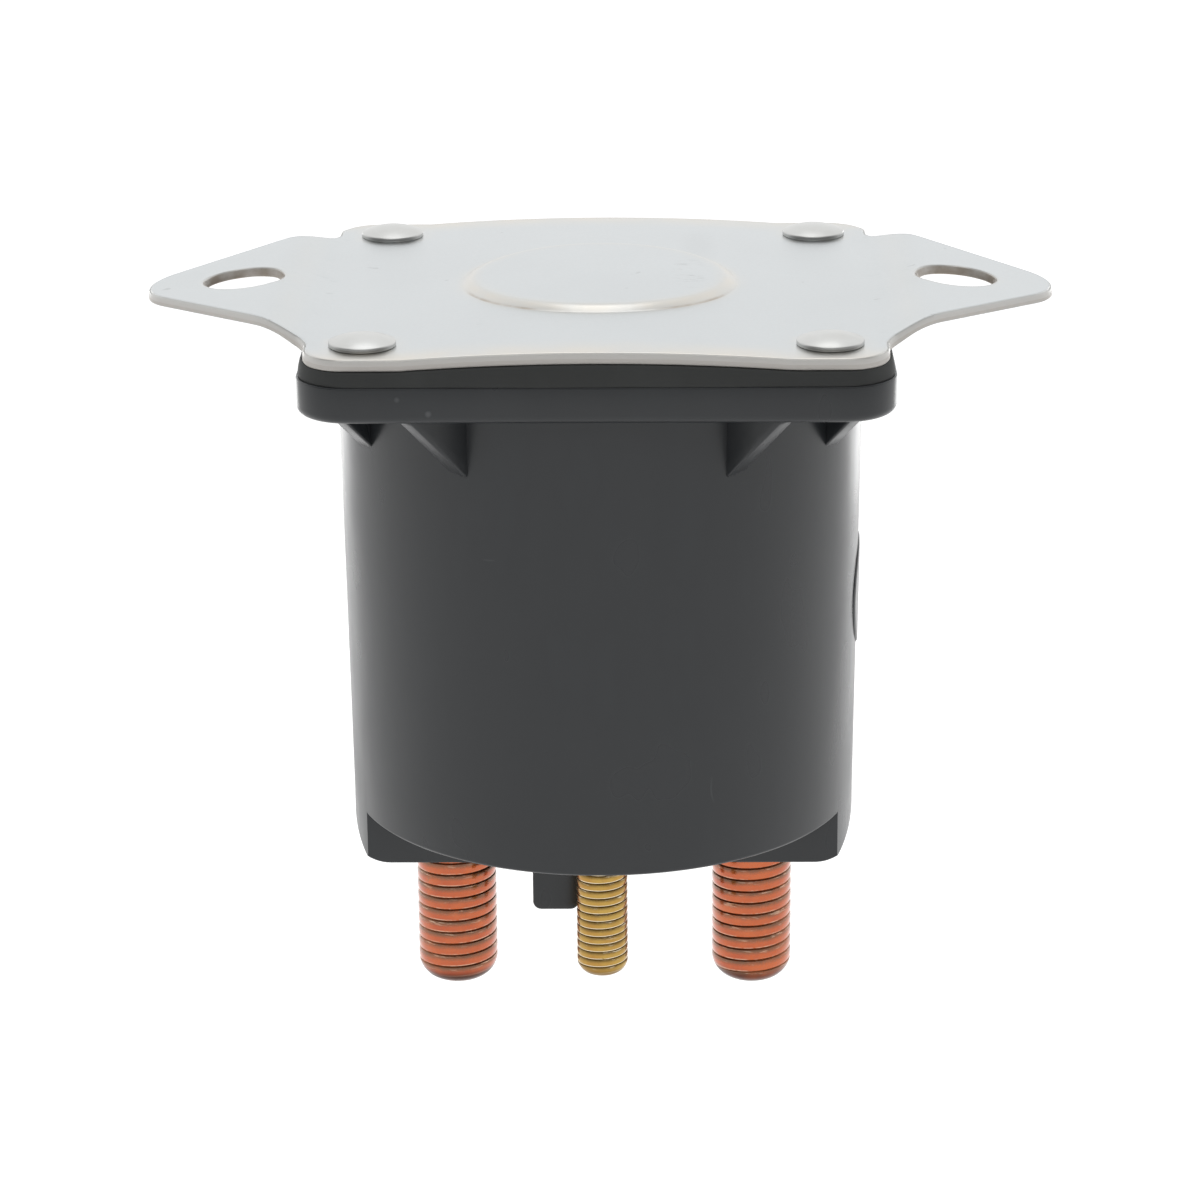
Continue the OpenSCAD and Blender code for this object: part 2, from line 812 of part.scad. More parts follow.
module pole_piece() {
    color("#85898c")
    difference() {
        union() {
            ring(yoke_out_r, bush_in_r, ledge_z, pole_flange_top);
            ring(sleeve_in_r - fixed_play, bush_in_r, ledge_z, pole_top);
        }
        for (side = [-1, 1])
            translate([0, side * lead_at, 0])
                post(lead_r + lead_gap, ledge_z - overrun, pole_flange_top + overrun);
    }
}

module guide_sleeve() {
    color("#d0b060")
    ring(sleeve_out_r, sleeve_in_r, pole_flange_top, flux_top - coil_play);
}

module clamp_ring() {
    color("#2b2b2b")
    ring(clamp_out_r, clamp_out_r - clamp_w, flux_top, clamp_top);
}

module stop_bumper() {
    color("#222222")
    post(bumper_r, bumper_base, pad_ceiling);
}

module plunger() {
    color("#9a9ea1")
    difference() {
        post(plunger_r, plunger_base, plunger_top);
        post(rod_r + fixed_play, plunger_base - overrun, plunger_base + rod_grip);
    }
}

module plunger_rod() {
    color("#b9bcbe")
    difference() {
        post(rod_r, rod_end, plunger_base + rod_grip);
        ring(rod_r + overrun, rod_r - groove_depth, clip_base, bush_base);
    }
}

module spring_seat() {
    color("#a9acae")
    ring(seat_r, rod_r + fixed_play, seat_base, seat_top);
}

module retaining_clip() {
    color("#6f7375")
    difference() {
        ring(clip_r, rod_r - groove_depth + fixed_play, clip_base + fixed_play,
             bush_base - fixed_play);
        translate([0, -clip_mouth / 2, clip_base - overrun])
            cube([clip_r + overrun, clip_mouth, clip_t + 2 * overrun]);
    }
}

module contact_disc() {
    color("#b8653a")
    ring(disc_r, bush_out_r + fixed_play, disc_base, disc_top);
}

module carrier_bush() {
    color("#7a4a2e")
    union() {
        ring(bush_flange_r, bush_in_r, bush_base, disc_base);
        ring(bush_out_r, bush_in_r, bush_base, disc_top + washer_t / 2);
    }
}

module carrier_washer() {
    color("#a9acae")
    ring(washer_r, bush_out_r + fixed_play, disc_top, washer_top);
}

// Wire spring made as one unbroken tube
module wire_spring(label, mean_r, base, length, wire, turns) {
    line = spring_line(mean_r, base, length, wire, turns);
    echo(str(label, " least gap to itself, mm: ", least_gap(line, wire)));
    polyhedron(points = spring_points(line, mean_r, wire), faces = tube_faces(len(line)));
}

module contact_spring() {
    color("#b4b8ba")
    wire_spring("contact spring", contact_mean_r, washer_top, contact_spring_len,
                contact_wire, contact_turns);
}

module return_spring() {
    color("#b4b8ba")
    wire_spring("return spring", return_mean_r, pocket_z, clip_base - pocket_z,
                return_wire, return_turns);
}

housing();
mounting_bracket();
flange_gasket();
bracket_rivets();
main_stud_left();
main_stud_right();
control_stud_front();
control_stud_rear();
main_stud_seals();
control_stud_seals();
lead_lugs();
coil_lead_front();
coil_lead_rear();
bobbin();
coil_winding();
coil_tape();
yoke_can();
flux_plate();
pole_piece();
guide_sleeve();
clamp_ring();
stop_bumper();
return_spring();
plunger();
plunger_rod();
spring_seat();
retaining_clip();
contact_spring();
contact_disc();
carrier_bush();
carrier_washer();
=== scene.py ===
"""Looks of a starter solenoid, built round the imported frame. Metres throughout."""

import json
import logging
import math
from dataclasses import dataclass, field
from enum import Enum
from typing import Callable, Iterable

import bmesh
import bpy
from mathutils import Matrix, Vector


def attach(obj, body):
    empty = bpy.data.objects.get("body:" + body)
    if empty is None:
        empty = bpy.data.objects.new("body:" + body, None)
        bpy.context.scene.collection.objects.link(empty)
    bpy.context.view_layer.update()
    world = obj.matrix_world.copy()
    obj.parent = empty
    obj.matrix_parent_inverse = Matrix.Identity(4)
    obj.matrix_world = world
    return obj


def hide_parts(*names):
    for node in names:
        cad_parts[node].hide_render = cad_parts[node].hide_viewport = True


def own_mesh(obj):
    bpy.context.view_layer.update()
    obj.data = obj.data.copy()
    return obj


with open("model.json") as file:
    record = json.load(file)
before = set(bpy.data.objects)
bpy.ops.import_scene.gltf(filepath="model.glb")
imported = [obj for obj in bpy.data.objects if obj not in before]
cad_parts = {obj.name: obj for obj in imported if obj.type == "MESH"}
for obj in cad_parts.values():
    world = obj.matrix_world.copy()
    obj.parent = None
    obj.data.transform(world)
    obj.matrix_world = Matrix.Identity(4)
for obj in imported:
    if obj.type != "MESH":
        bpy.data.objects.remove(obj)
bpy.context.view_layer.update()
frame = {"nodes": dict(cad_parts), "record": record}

LOG = logging.getLogger("solenoid")
MM = 0.001
FULL_TURN = 2 * math.pi
CORNERS = ((1, 1), (-1, 1), (-1, -1), (1, -1))
SIDES = (-1, 1)
SMOOTH_ANGLE = math.radians(38)

Piece = bpy.types.Object
Socket = bpy.types.NodeSocket
Mesh = bmesh.types.BMesh
Vert = bmesh.types.BMVert
Edge = bmesh.types.BMEdge
Pair = tuple[float, float]
Triple = tuple[float, float, float]
Span = tuple[float, float, float, float]
Colour = Triple

# What each vertex attribute says, from 0 to 1
WARM = "warm"
DEPTH = "depth"
GROOVE = "groove"
FLANK = "flank"
# painted shade on the rounded end of a stud
TIP_SHADE = "tip_shade"
# painted shade at the pad's foot and on the walls of the ear holes
FOOT_SHADE = "foot"


class Body(str, Enum):
    """The bodies that pieces ride on."""

    BASE = "base"
    ARMATURE = "armature"


def smooth_step(low: float, high: float, value: float) -> float:
    """Rise smoothly from 0 at low to 1 at high."""
    t = min(1.0, max(0.0, (value - low) / (high - low)))
    return t * t * (3 - 2 * t)


def bell(value: float, middle: float, width: float) -> float:
    """Rise to 1 at the middle and fall off over the width."""
    return math.exp(-((value - middle) / width) ** 2)


def rgba(colour: Colour) -> Span:
    """Add full alpha to a colour."""
    return (*colour, 1.0)


def scaled(colour: Colour, times: float, plus: float = 0.0) -> Colour:
    """Brighten or darken a colour."""
    return tuple(c * times + plus for c in colour)


class Graph:
    """The nodes of a material or of the world, with short calls for the kinds used here."""

    def __init__(self, name: str, world: bool = False) -> None:
        """Make an empty material of that name, or an empty world."""
        self.made = (bpy.data.worlds if world else bpy.data.materials).new(name)
        self.made.use_nodes = True
        self.tree = self.made.node_tree
        self.tree.nodes.clear()
        self.output = "OutputWorld" if world else "OutputMaterial"
        self.place = self.node("TexCoord").outputs["Object"]

    def node(self, kind: str, inputs: dict | None = None, **settings: object) -> bpy.types.Node:
        """Add a node.

        Args:
            kind: the node's type, without its prefix.
            inputs: input name or index to a value or a socket.
            settings: properties of the node.

        Returns:
            The new node.
        """
        made = self.tree.nodes.new("ShaderNode" + kind)
        for key, value in settings.items():
            setattr(made, key, value)
        for key, value in (inputs or {}).items():
            self.feed(made.inputs[key], value)
        return made

    def feed(self, socket: Socket, value: object) -> None:
        """Link a socket to another, or set its value."""
        if isinstance(value, Socket):
            self.tree.links.new(value, socket)
        else:
            socket.default_value = value

    def stretched(self, scale: Triple) -> Socket:
        """Object coordinates, scaled along each axis."""
        return self.node("Mapping", {"Vector": self.place, "Scale": scale}).outputs[0]

    def noise(self, scale: float, detail: float = 3.0, rough: float = 0.5,
              vector: Socket | None = None) -> Socket:
        """Noise from 0 to 1.

        Args:
            scale: how many waves a metre has.
            detail: number of finer layers.
            rough: strength of the finer layers.
            vector: where it is read, or else the object's own place.

        Returns:
            The noise.
        """
        inputs = {"Vector": vector or self.place, "Scale": scale, "Detail": detail,
                  "Roughness": rough}
        return self.node("TexNoise", inputs).outputs["Fac"]

    def cells(self, scale: float, feature: str, vector: Socket | None = None) -> Socket:
        """Distance to the middle or the border of scattered cells."""
        inputs = {"Vector": vector or self.place, "Scale": scale}
        return self.node("TexVoronoi", inputs, feature=feature).outputs["Distance"]

    def ramp(self, value: Socket, stops: list[tuple[float, Colour]]) -> Socket:
        """Run a value through a colour ramp.

        Args:
            value: the value, from 0 to 1.
            stops: position and colour of each stop.

        Returns:
            The colour.
        """
        made = self.node("ValToRGB", {0: value})
        elements = made.color_ramp.elements
        while len(elements) < len(stops):
            elements.new(0.5)
        for element, (position, colour) in zip(elements, stops):
            element.position = position
            element.color = rgba(colour)
        return made.outputs["Color"]

    def span(self, value: Socket, low: float, high: float, to_low: float, to_high: float,
             ease: str = "LINEAR") -> Socket:
        """Map the range from low to high onto another, and clamp.

        Args:
            value: the value.
            low: start of its range.
            high: end of its range.
            to_low: what low becomes.
            to_high: what high becomes.
            ease: how it runs between them.

        Returns:
            The mapped value.
        """
        inputs = {0: value, 1: low, 2: high, 3: to_low, 4: to_high}
        return self.node("MapRange", inputs, interpolation_type=ease).outputs[0]

    def math(self, operation: str, a: object, b: object = 0.0) -> Socket:
        """Do arithmetic on two values."""
        return self.node("Math", {0: a, 1: b}, operation=operation).outputs[0]

    def times(self, a: object, b: object) -> Socket:
        """Multiply two values."""
        return self.math("MULTIPLY", a, b)

    def vector(self, operation: str, inputs: dict) -> bpy.types.Node:
        """Do arithmetic on vectors."""
        return self.node("VectorMath", inputs, operation=operation)

    def mix(self, share: object, a: object, b: object) -> Socket:
        """Mix two colours.

        Args:
            share: share of the second colour, a number or a socket.
            a: first colour, three numbers or a socket.
            b: second colour, the same.

        Returns:
            The mixed colour.
        """
        made = self.node("Mix", data_type="RGBA")
        for index, value in ((0, share), (6, a), (7, b)):
            self.feed(made.inputs[index], rgba(value) if isinstance(value, tuple) else value)
        return made.outputs[2]

    def attribute(self, name: str) -> Socket:
        """Read a vertex attribute."""
        return self.node("Attribute", attribute_name=name).outputs["Fac"]

    def bump(self, height: Socket, distance: float, strength: float,
             below: Socket | None = None) -> Socket:
        """Bump from a height, over another bump if there is one.

        Args:
            height: the height, from 0 to 1.
            distance: what a height of 1 stands for.
            strength: share of the effect.
            below: the other bump.

        Returns:
            The bent normal.
        """
        inputs = {"Height": height, "Distance": distance, "Strength": strength}
        if below is not None:
            inputs["Normal"] = below
        return self.node("Bump", inputs).outputs[0]

    def surface(self, base: object, rough: object, normal: Socket, metal: object = 0.0,
                more: dict | None = None) -> bpy.types.Material:
        """End a finish with the one shader that all of them have.

        Args:
            base: its colour.
            rough: its roughness.
            normal: its bump.
            metal: how metallic it is.
            more: further inputs of the shader.

        Returns:
            The material.
        """
        inputs = {"Base Color": base, "Roughness": rough, "Normal": normal, "Metallic": metal}
        return self.close(self.node("BsdfPrincipled", inputs | (more or {})))

    def close(self, shader: bpy.types.Node) -> bpy.types.Material | bpy.types.World:
        """Link the shader to the output and hand over what was made."""
        self.node(self.output, {"Surface": shader.outputs[0]})
        return self.made


@dataclass(frozen=True)
class SheetSteel:
    """Bright stainless sheet with warm tints, faint smudges, a sheared edge, a painted highlight along
    its rounded rims and painted shade at the pad's foot and in the ear holes.
    """

    name: str = "stainless_sheet"
    colour: Colour = (0.545, 0.57, 0.58)
    tint: Colour = (0.62, 0.585, 0.525)
    # pale rim colour: the rollover's own bright metal, lifted into a painted highlight
    rollover_and_highlight: Colour = (0.80, 0.79, 0.76)
    torn: Colour = (0.68, 0.65, 0.61)
    # brown of the painted shade at the pad's foot and in the ear holes
    line: Colour = (0.74, 0.72, 0.69)
    foot: Colour = (0.36, 0.30, 0.24)
    rough: Pair = (0.28, 0.32)
    scuff_at: Pair = (8.6 * MM, 0.3 * MM)
    scuff_half: Pair = (1.9 * MM, 6.5 * MM)
    smear_at: Pair = (9.6 * MM, 13.5 * MM)
    smear_half: Pair = (2.2 * MM, 8.0 * MM)

    def patch(self, g: Graph, at: Pair, half: Pair) -> Socket:
        """Paint a soft oval patch.

        Args:
            g: the material's nodes.
            at: middle of the patch, seen from above.
            half: its half widths.

        Returns:
            A mask, 1 at the middle.
        """
        scale = (1 / half[0], 1 / half[1], 0.0)
        shift = (-at[0] * scale[0], -at[1] * scale[1], 0.0)
        moved = g.node("Mapping", {"Vector": g.place, "Location": shift, "Scale": scale}).outputs[0]
        return g.span(g.vector("LENGTH", {0: moved}).outputs["Value"], 0.3, 1.0, 1.0, 0.0)

    def marks(self, g: Graph) -> Socket:
        """Mask of the scuff, the smear and the pits."""
        streak = g.noise(1500.0, 3.0, 0.6, g.stretched((0.35, 1.0, 1.0)))
        scuff = g.times(self.patch(g, self.scuff_at, self.scuff_half),
                        g.span(streak, 0.50, 0.60, 0.0, 0.45))
        smear = g.times(self.patch(g, self.smear_at, self.smear_half), 0.10)
        pit = g.span(g.noise(420.0, 2.0, 0.5), 0.745, 0.78, 0.0, 0.4)
        return g.math("MAXIMUM", g.math("MAXIMUM", scuff, smear), pit)

    def sheared(self, g: Graph) -> Socket:
        """Colour of the sheared side, from the shiny upper line down to the torn zone."""
        ragged = g.math("ADD", g.attribute(DEPTH),
                        g.span(g.noise(900.0, 3.0), 0.0, 1.0, -0.12, 0.12))
        return g.ramp(ragged, [(0.0, self.line), (0.10, self.line), (0.22, self.torn),
                               (0.80, self.torn), (1.0, scaled(self.torn, 0.7))])

    def build(self) -> bpy.types.Material:
        """Make the material."""
        g = Graph(self.name)
        grain = g.noise(3200.0, 2.0, 0.6)
        smudge = g.span(g.noise(60.0, 4.0, 0.6), 0.35, 0.75, 0.0, 1.0)
        base = g.mix(smudge, self.colour, scaled(self.colour, 0.97))
        base = g.mix(self.marks(g), base, scaled(self.colour, 0.55))
        warm = g.times(g.attribute(WARM), g.span(g.noise(260.0, 3.0), 0.3, 0.7, 0.5, 1.0))
        base = g.mix(warm, base, self.tint)
        normal = g.node("NewGeometry").outputs["Normal"]
        rise = g.math("ABSOLUTE", g.node("SeparateXYZ", {0: normal}).outputs[2])
        side = g.span(rise, 0.10, 0.30, 1.0, 0.0)
        # painted highlight: faces that turn from flat to upright, the rounded rims, take a pale, nearly
        # non-metallic colour over the rollover's own bright metal
        rollover_and_highlight = g.span(rise, 0.30, 0.97, 1.0, 0.0)
        base = g.mix(g.times(rollover_and_highlight, 0.9), base, self.rollover_and_highlight)
        base = g.mix(side, base, self.sheared(g))
        # painted shade: darkens the front of the pad's foot and the walls of the ear holes
        foot = g.times(g.attribute(FOOT_SHADE), g.span(g.noise(500.0, 3.0), 0.35, 0.6, 0.3, 0.85))
        base = g.mix(foot, base, self.foot)
        rough = g.math("ADD", g.span(grain, 0.3, 0.7, *self.rough), g.times(side, 0.25))
        bumped = g.bump(grain, 0.006 * MM, 0.12)
        bumped = g.bump(g.noise(40.0, 2.0), 0.25 * MM, 0.08, bumped)
        return g.surface(base, rough, bumped, g.span(rollover_and_highlight, 0.0, 1.0, 1.0, 0.15))


@dataclass(frozen=True)
class Metal:
    """Turned, drawn or plated metal."""

    name: str
    colour: Colour
    dull: Colour
    rough: Pair = (0.2, 0.34)
    patch: float = 220.0
    grain: float = 1500.0
    relief: float = 0.3

    def build(self) -> bpy.types.Material:
        """Make the material."""
        g = Graph(self.name)
        patch = g.span(g.noise(self.patch, 4.0, 0.6), 0.4, 0.72, 0.0, 1.0)
        fine = g.noise(self.grain, 2.0, 0.6, g.stretched((1.0, 1.0, 3.0)))
        return g.surface(g.mix(patch, self.colour, self.dull), g.span(fine, 0.25, 0.75, *self.rough),
                         g.bump(fine, 0.012 * MM, self.relief), 1.0)


@dataclass(frozen=True)
class ThreadedMetal:
    """Rolled thread: a painted highlight line and pale scratches at the crests, darker upper flanks,
    painted shade in the roots and on the rounded end.
    """

    name: str
    colour: Colour
    # colour of the painted shade in the roots, and of the scattered dark specks
    root: Colour
    # darker colour of the upper flanks
    flank: Colour
    # pale colour of the painted highlight line at each crest, and of the bare metal in scratches
    crest_highlight_and_scratch: Colour
    # colour of the painted shade on the rounded end
    end: Colour
    rough: Pair = (0.20, 0.34)
    film: float = 0.8
    lip: Span = (0.44, 0.62, 0.0, 0.7)
    worn: Colour = (0.86, 0.68, 0.62)

    def build(self) -> bpy.types.Material:
        """Make the material."""
        g = Graph(self.name)
        groove = g.attribute(GROOVE)
        facing = g.attribute(FLANK)
        patch = g.noise(330.0, 4.0, 0.62)
        nick = g.noise(2600.0, 3.0, 0.7, g.stretched((1.0, 1.0, 2.2)))
        ragged = g.span(nick, 0.0, 1.0, -0.25, 0.25)
        streak = g.noise(1700.0, 3.0, 0.65, g.stretched((0.3, 0.3, 2.4)))
        base = g.mix(g.span(patch, 0.38, 0.66, 0.0, 1.0), self.colour,
                     tuple(c * t for c, t in zip(self.colour, self.worn)))
        wide = g.math("ADD", facing, g.times(ragged, 0.5))
        # darker band on the upper flank below each crest
        upper = g.times(g.span(wide, 0.20, 0.52, 1.0, 0.0), g.span(patch, 0.34, 0.54, 0.55, 0.95))
        base = g.mix(upper, base, self.flank)
        scored = g.times(g.span(wide, 0.10, 0.44, 1.0, 0.0), g.span(streak, 0.56, 0.66, 0.0, 0.75))
        # painted highlight: a thin broken pale line along each crest edge
        lip = g.times(g.span(facing, 0.80, 0.90, 0.0, 1.0),
                      g.times(g.span(facing, 0.93, 0.97, 1.0, 0.0),
                              g.span(g.math("ADD", patch, ragged), *self.lip)))
        base = g.mix(g.math("MAXIMUM", lip, scored), base, self.crest_highlight_and_scratch)
        base = g.mix(g.span(g.noise(1500.0, 2.0, 0.5), 0.70, 0.76, 0.0, 0.7), base, self.root)
        # painted shade: the roots darken with their depth
        deep = g.math("ADD", groove, g.times(ragged, 0.5))
        base = g.mix(g.span(deep, 0.62, 0.95, 0.0, 0.75), base, self.root)
        # painted shade: the rounded end darkens towards the tip
        end_shade = g.times(g.attribute(TIP_SHADE), g.span(patch, 0.30, 0.62, 0.7, 0.95))
        base = g.mix(end_shade, base, self.end)
        rough = g.math("ADD", g.span(nick, 0.25, 0.75, *self.rough), g.times(upper, 0.14))
        rough = g.math("ADD", rough, g.span(groove, 0.5, 1.0, 0.0, 0.2))
        film = g.times(g.math("SUBTRACT", 1.0, g.attribute(TIP_SHADE)),
                       g.span(groove, 0.3, 0.8, self.film, 0.2))
        coat = {"Coat Weight": film, "Coat IOR": 1.6, "Coat Roughness": 0.12}
        return g.surface(base, rough, g.bump(nick, 0.03 * MM, 0.4), 1.0, coat)


@dataclass(frozen=True)
class Moulding:
    """Moulded plastic or rubber, with lint, fine scratches and a soft orange peel."""

    name: str
    colour: Colour
    rough: Pair = (0.34, 0.46)
    peel: float = 620.0
    peel_depth: float = 0.018 * MM
    lint: float = 0.35
    specular: float = 0.5
    dust: Colour = (0.30, 0.31, 0.32)

    def marks(self, g: Graph) -> Socket:
        """Mask of the lint and of the fine scratches."""
        chosen = g.span(g.noise(77.0, 0.0), 0.60, 0.64, 0.0, 1.0)
        dot = g.times(g.span(g.cells(210.0, "F1"), 0.03, 0.075, 1.0, 0.0), chosen)
        drift = g.node("TexNoise", {"Vector": g.place, "Scale": 120.0, "Detail": 1.0})
        bend = g.vector("SCALE", {0: drift.outputs["Color"], 3: 0.004}).outputs[0]
        warp = g.vector("ADD", {0: g.place, 1: bend}).outputs[0]
        line = g.times(g.span(g.cells(26.0, "DISTANCE_TO_EDGE", warp), 0.0, 0.0035, 1.0, 0.0),
                       g.span(g.noise(170.0, 1.0), 0.66, 0.72, 0.0, 0.5))
        return g.math("MAXIMUM", dot, line)

    def build(self) -> bpy.types.Material:
        """Make the material."""
        g = Graph(self.name)
        haze = g.noise(150.0, 2.0, 0.5, g.stretched((1.0, 1.0, 0.45)))
        base = g.mix(g.noise(38.0, 4.0, 0.6), scaled(self.colour, 0.86), scaled(self.colour, 1.16))
        base = g.mix(g.span(haze, 0.55, 0.8, 0.0, 0.5), base, scaled(self.colour, 1.5, 0.004))
        base = g.mix(g.times(self.marks(g), self.lint), base, self.dust)
        bumped = g.bump(g.noise(self.peel, 3.0, 0.55), self.peel_depth, 0.3)
        bumped = g.bump(g.noise(55.0, 2.0), 0.12 * MM, 0.12, bumped)
        return g.surface(base, g.span(haze, 0.3, 0.75, *self.rough), bumped,
                         more={"Specular IOR Level": self.specular})


@dataclass
class Finishes:
    """Every material of the object, by its slot in the record."""

    made: dict[str, bpy.types.Material] = field(default_factory=dict)

    def build(self) -> "Finishes":
        """Make the materials."""
        kinds = (
            SheetSteel(),
            Metal("rivet_steel", (0.575, 0.58, 0.57), (0.53, 0.53, 0.515), (0.30, 0.34),
                  grain=700.0, relief=0.03),
            Moulding("black_plastic", (0.0190, 0.0218, 0.0246), (0.26, 0.36), lint=0.2),
            Moulding("gasket_rubber", (0.046, 0.048, 0.047), (0.62, 0.74), 900.0, 0.03 * MM, 0.2,
                     0.35),
            Moulding("seal_rubber", (0.015, 0.015, 0.015), (0.5, 0.6)),
            ThreadedMetal("copper", (0.50, 0.105, 0.022), root=(0.30, 0.12, 0.05),
                          flank=(0.19, 0.080, 0.032), crest_highlight_and_scratch=(0.80, 0.52, 0.36),
                          end=(0.055, 0.02, 0.013), rough=(0.14, 0.28)),
            ThreadedMetal("brass", (0.47, 0.30, 0.068), root=(0.34, 0.22, 0.06),
                          flank=(0.25, 0.155, 0.04), crest_highlight_and_scratch=(1.0, 0.90, 0.68),
                          end=(0.24, 0.14, 0.035), rough=(0.12, 0.26), film=0.25,
                          lip=(0.25, 0.50, 0.35, 1.0)),
            Metal("enamelled_copper", (0.62, 0.22, 0.08), (0.50, 0.16, 0.05)),
            Moulding("nylon", (0.72, 0.68, 0.58)),
            Moulding("coil_tape", (0.62, 0.40, 0.06)),
            Metal("plated_steel", (0.60, 0.61, 0.62), (0.48, 0.49, 0.47)),
            Metal("rod_steel", (0.68, 0.69, 0.7), (0.58, 0.58, 0.58)),
            Metal("spring_steel", (0.55, 0.56, 0.57), (0.4, 0.4, 0.4)),
            Moulding("phenolic", (0.20, 0.10, 0.05)),
        )
        self.made = {kind.name: kind.build() for kind in kinds}
        return self

    def dress_frame(self) -> None:
        """Give each CAD node the material of its slot."""
        for part in frame["record"]["subparts"]:
            node = frame["nodes"][part["node"]]
            node.data.materials.clear()
            node.data.materials.append(self.made[part["material_slot"]])


def placed(name: str, data: object) -> Piece:
    """Make an object and link it to the scene."""
    made = bpy.data.objects.new(name, data)
    bpy.context.scene.collection.objects.link(made)
    return made


def outwards(bm: Mesh) -> None:
    """Point all faces outwards."""
    bmesh.ops.recalc_face_normals(bm, faces=bm.faces[:])


def finish_mesh(bm: Mesh, name: str, recalc: bool = True) -> Piece:
    """Weld a bmesh, point its faces outwards and make an object of it.

    Args:
        bm: the mesh, which is freed.
        name: the name of the object.
        recalc: whether the faces still have to be turned outwards.

    Returns:
        The object, at the origin, with smooth faces and sharp creases.
    """
    bmesh.ops.remove_doubles(bm, verts=bm.verts[:], dist=0.001 * MM)
    bmesh.ops.dissolve_degenerate(bm, edges=bm.edges[:], dist=0.0005 * MM)
    if recalc:
        outwards(bm)
    for face in bm.faces:
        face.smooth = True
    for edge in bm.edges:
        if len(edge.link_faces) == 2:
            edge.smooth = edge.calc_face_angle(0.0) < SMOOTH_ANGLE
    mesh = bpy.data.meshes.new(name)
    bm.to_mesh(mesh)
    bm.free()
    return placed(name, mesh)


def settle(piece: Piece, finishes: Finishes, slot: str, body: Body, *nodes: str) -> Piece:
    """Dress a piece, set what it rides on and what it stands for.

    Args:
        piece: the finished piece.
        finishes: the materials.
        slot: the record's slot of the piece's material.
        body: the body that it rides on.
        nodes: the CAD nodes that it replaces.

    Returns:
        The piece.
    """
    piece.data.materials.clear()
    piece.data.materials.append(finishes.made[slot])
    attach(piece, body.value)
    if nodes:
        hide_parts(*nodes)
    LOG.info("%s: %d faces", piece.name, len(piece.data.polygons))
    return piece


def spun(profile: Iterable[Pair], steps: int, rise: float = 0.0) -> Mesh:
    """Turn a line of (radius, height) points round the Z axis.

    Args:
        profile: the points, of which those on the axis close the shape.
        steps: faces in a full turn.
        rise: height gained in the turn, for a screw.

    Returns:
        The bmesh.
    """
    bm = bmesh.new()
    verts = [bm.verts.new((radius, 0.0, height)) for radius, height in profile]
    edges = [bm.edges.new(pair) for pair in zip(verts, verts[1:])]
    bmesh.ops.spin(bm, geom=verts + edges, cent=(0, 0, 0), axis=(0, 0, 1), angle=FULL_TURN,
                   dvec=(0, 0, rise / steps), steps=steps, use_merge=rise == 0.0,
                   use_duplicate=False)
    bmesh.ops.remove_doubles(bm, verts=bm.verts[:], dist=0.002 * MM)
    outwards(bm)
    return bm


def arc(centre: Pair, radius: float, start: float, end: float,
        steps: int) -> list[Pair]:
    """Points along an arc, angles in degrees."""
    angles = [math.radians(start + (end - start) * i / steps) for i in range(steps + 1)]
    return [(centre[0] + radius * math.cos(a), centre[1] + radius * math.sin(a)) for a in angles]


def bevel(bm: Mesh, geom: list, offset: float, segments: int, affect: str = "EDGES",
          clamp: bool = False) -> None:
    """Round some edges or corners.

    Args:
        bm: the mesh.
        geom: the edges or corners.
        offset: how far the rounding reaches.
        segments: faces across the rounding.
        affect: EDGES or VERTICES.
        clamp: whether a rounding stops where it would meet another.
    """
    bmesh.ops.bevel(bm, geom=geom, offset=offset, segments=segments, profile=0.5,
                    affect=affect, material=-1, clamp_overlap=clamp)


def round_square(bm: Mesh, half: float, corner: float, height: float,
                 segments: int = 14) -> bmesh.types.BMFace:
    """Add a flat square face with round corners.

    Args:
        bm: the mesh.
        half: half the square's side.
        corner: radius of the corners.
        height: height of the face.
        segments: edges of each corner.

    Returns:
        The face.
    """
    verts = [bm.verts.new((half * x, half * y, height)) for x, y in CORNERS]
    bm.faces.new(verts)
    bevel(bm, verts, corner, segments, "VERTICES")
    bm.faces.ensure_lookup_table()
    return bm.faces[-1]


def ring(bm: Mesh, x: float, y: float, radius: float, count: int) -> list[Edge]:
    """Add a circle of edges at a height of 0, and return them."""
    made = bmesh.ops.create_circle(bm, segments=count, radius=radius,
                                   matrix=Matrix.Translation((x, y, 0.0)))
    return list({e for v in made["verts"] for e in v.link_edges})


def box(bm: Mesh, low: Triple, high: Triple) -> None:
    """Add a box between two opposite corners."""
    size = Vector(high) - Vector(low)
    place = Matrix.Translation((Vector(high) + Vector(low)) / 2) @ Matrix.Diagonal((*size, 1))
    bmesh.ops.create_cube(bm, size=1.0, matrix=place)


def inset(bm: Mesh, face: bmesh.types.BMFace, steps: Iterable[float]) -> None:
    """Inset one face again and again, by each step in turn."""
    for step in steps:
        bmesh.ops.inset_region(bm, faces=[face], thickness=step, use_even_offset=True,
                               use_boundary=True)


def extruded(bm: Mesh) -> list[Vert]:
    """Extrude all faces of a sheet on the spot, and return the new vertices."""
    made = bmesh.ops.extrude_face_region(bm, geom=bm.faces[:], use_keep_orig=True)
    return [item for item in made["geom"] if isinstance(item, Vert)]


def move(bm: Mesh, x: float, y: float) -> None:
    """Move a whole mesh sideways."""
    bmesh.ops.translate(bm, verts=bm.verts[:], vec=(x, y, 0))


